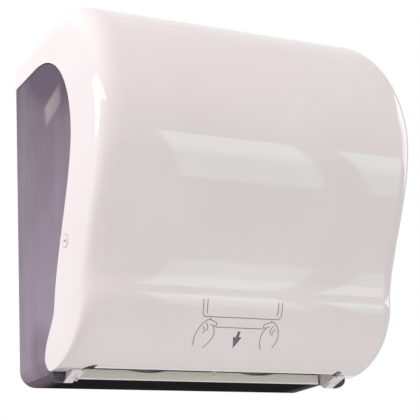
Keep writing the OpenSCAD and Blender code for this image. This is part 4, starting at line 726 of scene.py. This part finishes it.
# Hinge arms: two straps of white ABS at the mouth's ends, moulded with the cover and hung on the lugs' pins.
# Each has a thin web on its inner side that closes the slot's end. Outlines are depth and height.
arms = softened("hinge_arms", "hinge_arm_pair", [abs_white])
round_edges(arms, 0.0005)
keep_flats(arms)
settle(arms, "cover")
WEB_X, WEB_IN, WEB_ROOT, WEB_SUNK = 136.6, 138.1, 140.3, 0.3
web = [(76.6, -4.4), (83, -6.2), (104, -0.2), (104, 1.7), (98, 5.6), (88, 8.5), (80, 11.2), (65, 11.2),
       (65, 4.4), (75.8, 4.4)]
web_root = [(90, -3.6), (103, -0.2), (103, 1.6), (97, 5.4), (90, 5.4)]
webs = ((web, WEB_X, WEB_IN, "web"), (web_root, WEB_IN - WEB_SUNK, WEB_ROOT, "web_root"))
for side, name in ((-1, "left"), (1, "right")):
    for outline, near, far, of in webs:
        points, faces = prism([(-d, z) for d, z in outline], near, far)
        plate = new_piece(f"{name}_arm_{of}", in_metres(points[:, [2, 0, 1]] * [side, 1, 1]), faces, abs_white)
        round_edges(plate, 0.0004)
        settle(plate, "cover")

# Lock: a barrel of the cover's white ABS in its left side, flush with it, turned by a key.
# A thin collar of warm grey ABS, pressed in around it, hides the hole's edge.
COLLAR_IN, COLLAR_OUT, COLLAR_SUNK, COLLAR_PROUD = 6.1, 7.1, 0.4, 0.3
COLLAR_BREAK, COLLAR_FALL = 0.2, 0.15
dress("lock_barrel", abs_white)
turn = np.radians(np.arange(0, 360, 7.5))
ring_at = [(COLLAR_OUT, -COLLAR_SUNK), (COLLAR_OUT, COLLAR_PROUD - COLLAR_FALL),
           (COLLAR_OUT - COLLAR_BREAK, COLLAR_PROUD), (COLLAR_IN + COLLAR_BREAK, COLLAR_PROUD),
           (COLLAR_IN, COLLAR_PROUD - COLLAR_FALL), (COLLAR_IN, -COLLAR_SUNK)]
points = [(-BODY_HALF - proud, -LOCK_DEPTH + r * math.cos(a), LOCK_HEIGHT + r * math.sin(a))
          for a in turn for r, proud in ring_at]
count, sides = len(turn), len(ring_at)
faces = [(i * sides + k, i * sides + (k + 1) % sides, (i + 1) % count * sides + (k + 1) % sides,
          (i + 1) % count * sides + k) for i in range(count) for k in range(sides)]
collar = new_piece("lock_collar", in_metres(points), faces, abs_collar)
settle(collar, "cover")

# Sign on the foot: two hands pull a sheet down from a slot, pad-printed in one thin grey ink.
# The ink stands 0.1 mm proud, drawn a little thicker than a real print so that it lies clear of the shell.
INK_MIDDLE, INK_ROOT, INK_PROUD, INK_HALF = -7.7, -0.1, 0.12, 0.34
ARROW_X, ARROW_TOP, ARROW_NECK, ARROW_TIP, ARROW_END = INK_MIDDLE + 0.6, 29.6, 25, 16.4, 16.6
SHAFT_HALF, HEAD_HALF = 1.5, 4.6
foot_share = np.linspace(0, 1, 200)
foot_line, foot_out = bezier(foot_curve, foot_share), bezier_left(foot_curve, foot_share)


def on_foot(path):
    x, z = np.asarray(path, float).T
    order = np.argsort(foot_line[:, 1])
    depth = np.interp(z, foot_line[order, 1], foot_line[order, 0])
    out_d = np.interp(z, foot_line[order, 1], foot_out[order, 0])
    out_z = np.interp(z, foot_line[order, 1], foot_out[order, 1])
    return np.column_stack((x, -depth, z)), np.column_stack((0 * x, -out_d, out_z))


def smooth_path(knots, count):
    knots = np.asarray(knots, float)
    padded = np.vstack((2 * knots[0] - knots[1], knots, 2 * knots[-1] - knots[-2]))
    made = []
    for k in range(len(knots) - 1):
        p, q, r, s = padded[k:k + 4]
        for t in np.linspace(0, 1, count, endpoint=False):
            bend = 2 * p - 5 * q + 4 * r - s + t * (3 * (q - r) + s - p)
            made.append(q + 0.5 * t * (r - p + t * bend))
    return np.array(made + [knots[-1]])


def ink_stroke(path, half_widths):
    at, out = on_foot(path)
    along = np.gradient(at, axis=0)
    side = np.cross(out, along)
    side *= (half_widths / np.linalg.norm(side, axis=1))[:, None]
    low, high = at + INK_ROOT * out, at + INK_PROUD * out
    rings = np.stack((low - side, high - side, high + side, low + side), axis=1)
    count = len(path)
    faces = [(0, 1, 2, 3), tuple(4 * (count - 1) + k for k in (3, 2, 1, 0))]
    for i in range(count - 1):
        faces += [(4 * i + k, 4 * i + (k + 1) % 4, 4 * i + 4 + (k + 1) % 4, 4 * i + 4 + k) for k in range(4)]
    return rings.reshape(-1, 3), faces


# One half of the sign, sideways and up: the slot's bracket, the sheet's side and foot, and then a hand.
half_lines = [[(0, 40.8), (36, 40.8), (39.6, 41.4), (41.4, 43.6), (41.7, 47), (41.9, 56)],
              [(37.6, 56), (37.4, 46), (36.8, 43.6)], [(0, 32.4), (25.6, 32.4)],
              [(31.5, 39.4), (37, 37), (41, 33), (43.4, 28), (44, 23), (42.4, 17.6)],
              [(33, 38.4), (28.6, 37.2), (25.2, 35.6), (25.4, 33.6), (28, 33.4), (31.5, 34.6)],
              [(35.6, 35.4), (33.2, 31.6), (34.6, 28.6)], [(38.4, 32.6), (36.2, 29.4), (37.2, 27)],
              [(28, 33), (25.6, 29), (25.4, 24.6), (27.6, 20), (31, 16)]]
ink_points, ink_faces = [], []
for line in half_lines:
    path = smooth_path(line, 6)
    for mirror in (-1, 1):
        drawn_path = path * [mirror, 1] + [INK_MIDDLE, 0]
        points, faces = ink_stroke(drawn_path, np.full(len(path), INK_HALF))
        ink_faces += [tuple(i + sum(map(len, ink_points)) for i in f) for f in faces]
        ink_points.append(points)
arrow_z = np.concatenate((np.linspace(ARROW_TOP, ARROW_NECK, 6), np.linspace(ARROW_NECK - 0.01, ARROW_END, 9)))
taper = (arrow_z - ARROW_TIP) / (ARROW_NECK - ARROW_TIP)
arrow_half = np.where(arrow_z >= ARROW_NECK, SHAFT_HALF, HEAD_HALF * taper)
points, faces = ink_stroke(np.column_stack((np.full(15, ARROW_X), arrow_z)), arrow_half)
ink_faces += [tuple(i + sum(map(len, ink_points)) for i in f) for f in faces]
ink_points.append(points)

# Pad-printing ink: matt, slightly uneven grey, mottled about 3 mm across.
ink = blank("ink_grey_pad_printed")
place = add(ink, "ShaderNodeTexCoord")
patchy = add(ink, "ShaderNodeTexNoise", [("Vector", place.outputs["Object"])], Scale=1 / 0.003, Detail=2.0)
shade = add(ink, "ShaderNodeValToRGB", [("Fac", patchy.outputs["Fac"])])
shade.color_ramp.elements[0].color = linear("#6a6070")
shade.color_ramp.elements[1].color = linear("#7f7584")
matt = add(ink, "ShaderNodeBsdfPrincipled", [("Base Color", shade.outputs["Color"])],
           Roughness=0.5, IOR=1.5)
add(ink, "ShaderNodeOutputMaterial", [("Surface", matt.outputs["BSDF"])])
sign = new_piece("pull_sign", in_metres(np.concatenate(ink_points)), ink_faces, ink)
settle(sign, "cover")

# Stage: a pale floor well below the dispenser, and a white surround that lights it softly from all sides.
# The camera sees half of the floor's own white, so that its shadow stays.
FLOOR_HALF, FLOOR_Z, FLOOR_OWN_WHITE = 6, -1.5, 0.5
SURROUND_LIGHT, SURROUND_SEEN = 0.38, 1.0
floor_pale = blank("floor_pale_matt")
dull = add(floor_pale, "ShaderNodeBsdfPrincipled", Base_Color=linear("#e8e8e8"), Roughness=0.8)
plain = add(floor_pale, "ShaderNodeEmission", Color=(1, 1, 1, 1), Strength=1.0)
ray = add(floor_pale, "ShaderNodeLightPath")
seen = add(floor_pale, "ShaderNodeMath",
           [(0, ray.outputs["Is Camera Ray"]), (1, ray.outputs["Is Glossy Ray"])], operation="MAXIMUM")
part = add(floor_pale, "ShaderNodeMath", [(0, seen.outputs["Value"])], operation="MULTIPLY")
part.inputs[1].default_value = FLOOR_OWN_WHITE
mixed = add(floor_pale, "ShaderNodeMixShader",
            [("Fac", part.outputs["Value"]), (1, dull.outputs["BSDF"]), (2, plain.outputs["Emission"])])
add(floor_pale, "ShaderNodeOutputMaterial", [("Surface", mixed.outputs["Shader"])])
mesh = bpy.data.meshes.new("floor")
corners = ((-1, -1), (1, -1), (1, 1), (-1, 1))
mesh.from_pydata([(FLOOR_HALF * x, FLOOR_HALF * y, FLOOR_Z) for x, y in corners], [], [(0, 1, 2, 3)])
mesh.materials.append(floor_pale)
floor = bpy.data.objects.new("floor", mesh)
scene.collection.objects.link(floor)

world = bpy.data.worlds.new("studio")
scene.world = world
world.use_nodes = True
world.node_tree.nodes.clear()
ray = add(world, "ShaderNodeLightPath")
seen = add(world, "ShaderNodeMath",
           [(0, ray.outputs["Is Camera Ray"]), (1, ray.outputs["Is Transmission Ray"])], operation="MAXIMUM")
seen = add(world, "ShaderNodeMath", [(0, seen.outputs["Value"]), (1, ray.outputs["Is Glossy Ray"])],
           operation="MAXIMUM")
soft = add(world, "ShaderNodeBackground", Color=(1, 1, 1, 1), Strength=SURROUND_LIGHT)
white = add(world, "ShaderNodeBackground", Color=(1, 1, 1, 1), Strength=SURROUND_SEEN)
mixed = add(world, "ShaderNodeMixShader",
            [("Fac", seen.outputs["Value"]), (1, soft.outputs["Background"]), (2, white.outputs["Background"])])
add(world, "ShaderNodeOutputWorld", [("Surface", mixed.outputs["Shader"])])

# Softboxes: a long one behind the left side, and a pair low in front on the right that face upward, each with a
# bright upper and a dimmer lower half. A white card on the right shows only in the gloss, and the four fills, on
# the left, above, high on the left and low in front, stay out of it.
UPWARD_FACING = Vector((0, 0.832, 0.555))


def softbox(name, at, toward, width, height, watts, colour):
    lamp = bpy.data.lights.new(name, "AREA")
    lamp.shape = "RECTANGLE"
    lamp.size, lamp.size_y = width, height
    lamp.energy = watts
    lamp.color = linear(colour)[:3]
    box = bpy.data.objects.new(name, lamp)
    box.location = at
    box.rotation_euler = (Vector(toward) - Vector(at)).to_track_quat("-Z", "Y").to_euler()
    scene.collection.objects.link(box)
    return box


softbox("left_behind", (-1.69, 0.62, 0.82), (-0.16, -0.25, 0.05), 2.6, 0.17, 5, "#fff6f8")
halves = (("upper", -2.283, -0.425, 0.48, 6.4), ("lower", -2.036, -0.795, 0.41, 3.6))
for name, x, width in (("front_low_a", 1.02, 0.56), ("front_low_b", 1.73, 0.46)):
    for part_of, y, z, height, watts_per_area in halves:
        at = Vector((x, y, z))
        softbox(f"{name}_{part_of}", at, at + UPWARD_FACING, width, height,
                watts_per_area * width * height, "#d4ffee")
card = softbox("right_card", (1.5, -0.80, 0.55), (0, -0.80, 0.55), 1.45, 1.25, 20, "#fff8f8")
card.visible_diffuse = False
for fill in (softbox("left_fill", (-1.57, 0.88, 0.58), (-0.1, -0.15, 0), 1.2, 1.0, 18.4, "#fdf8fc"),
             softbox("above_fill", (-0.80, -1.05, 1.80), (0, -0.15, 0.1), 0.9, 0.9, 17.4, "#fff3ee"),
             softbox("upper_left_fill", (-1.2, -1.2, 1.2), (0, -0.15, 0.1), 0.9, 0.9, 5.5, "#fff3ee"),
             softbox("low_fill", (-0.1, -1.4, -1.2), (0, -0.15, -0.1), 1.0, 0.7, 6.8, "#fff4ee")):
    fill.visible_glossy = False

scene.view_settings.view_transform = "Standard"
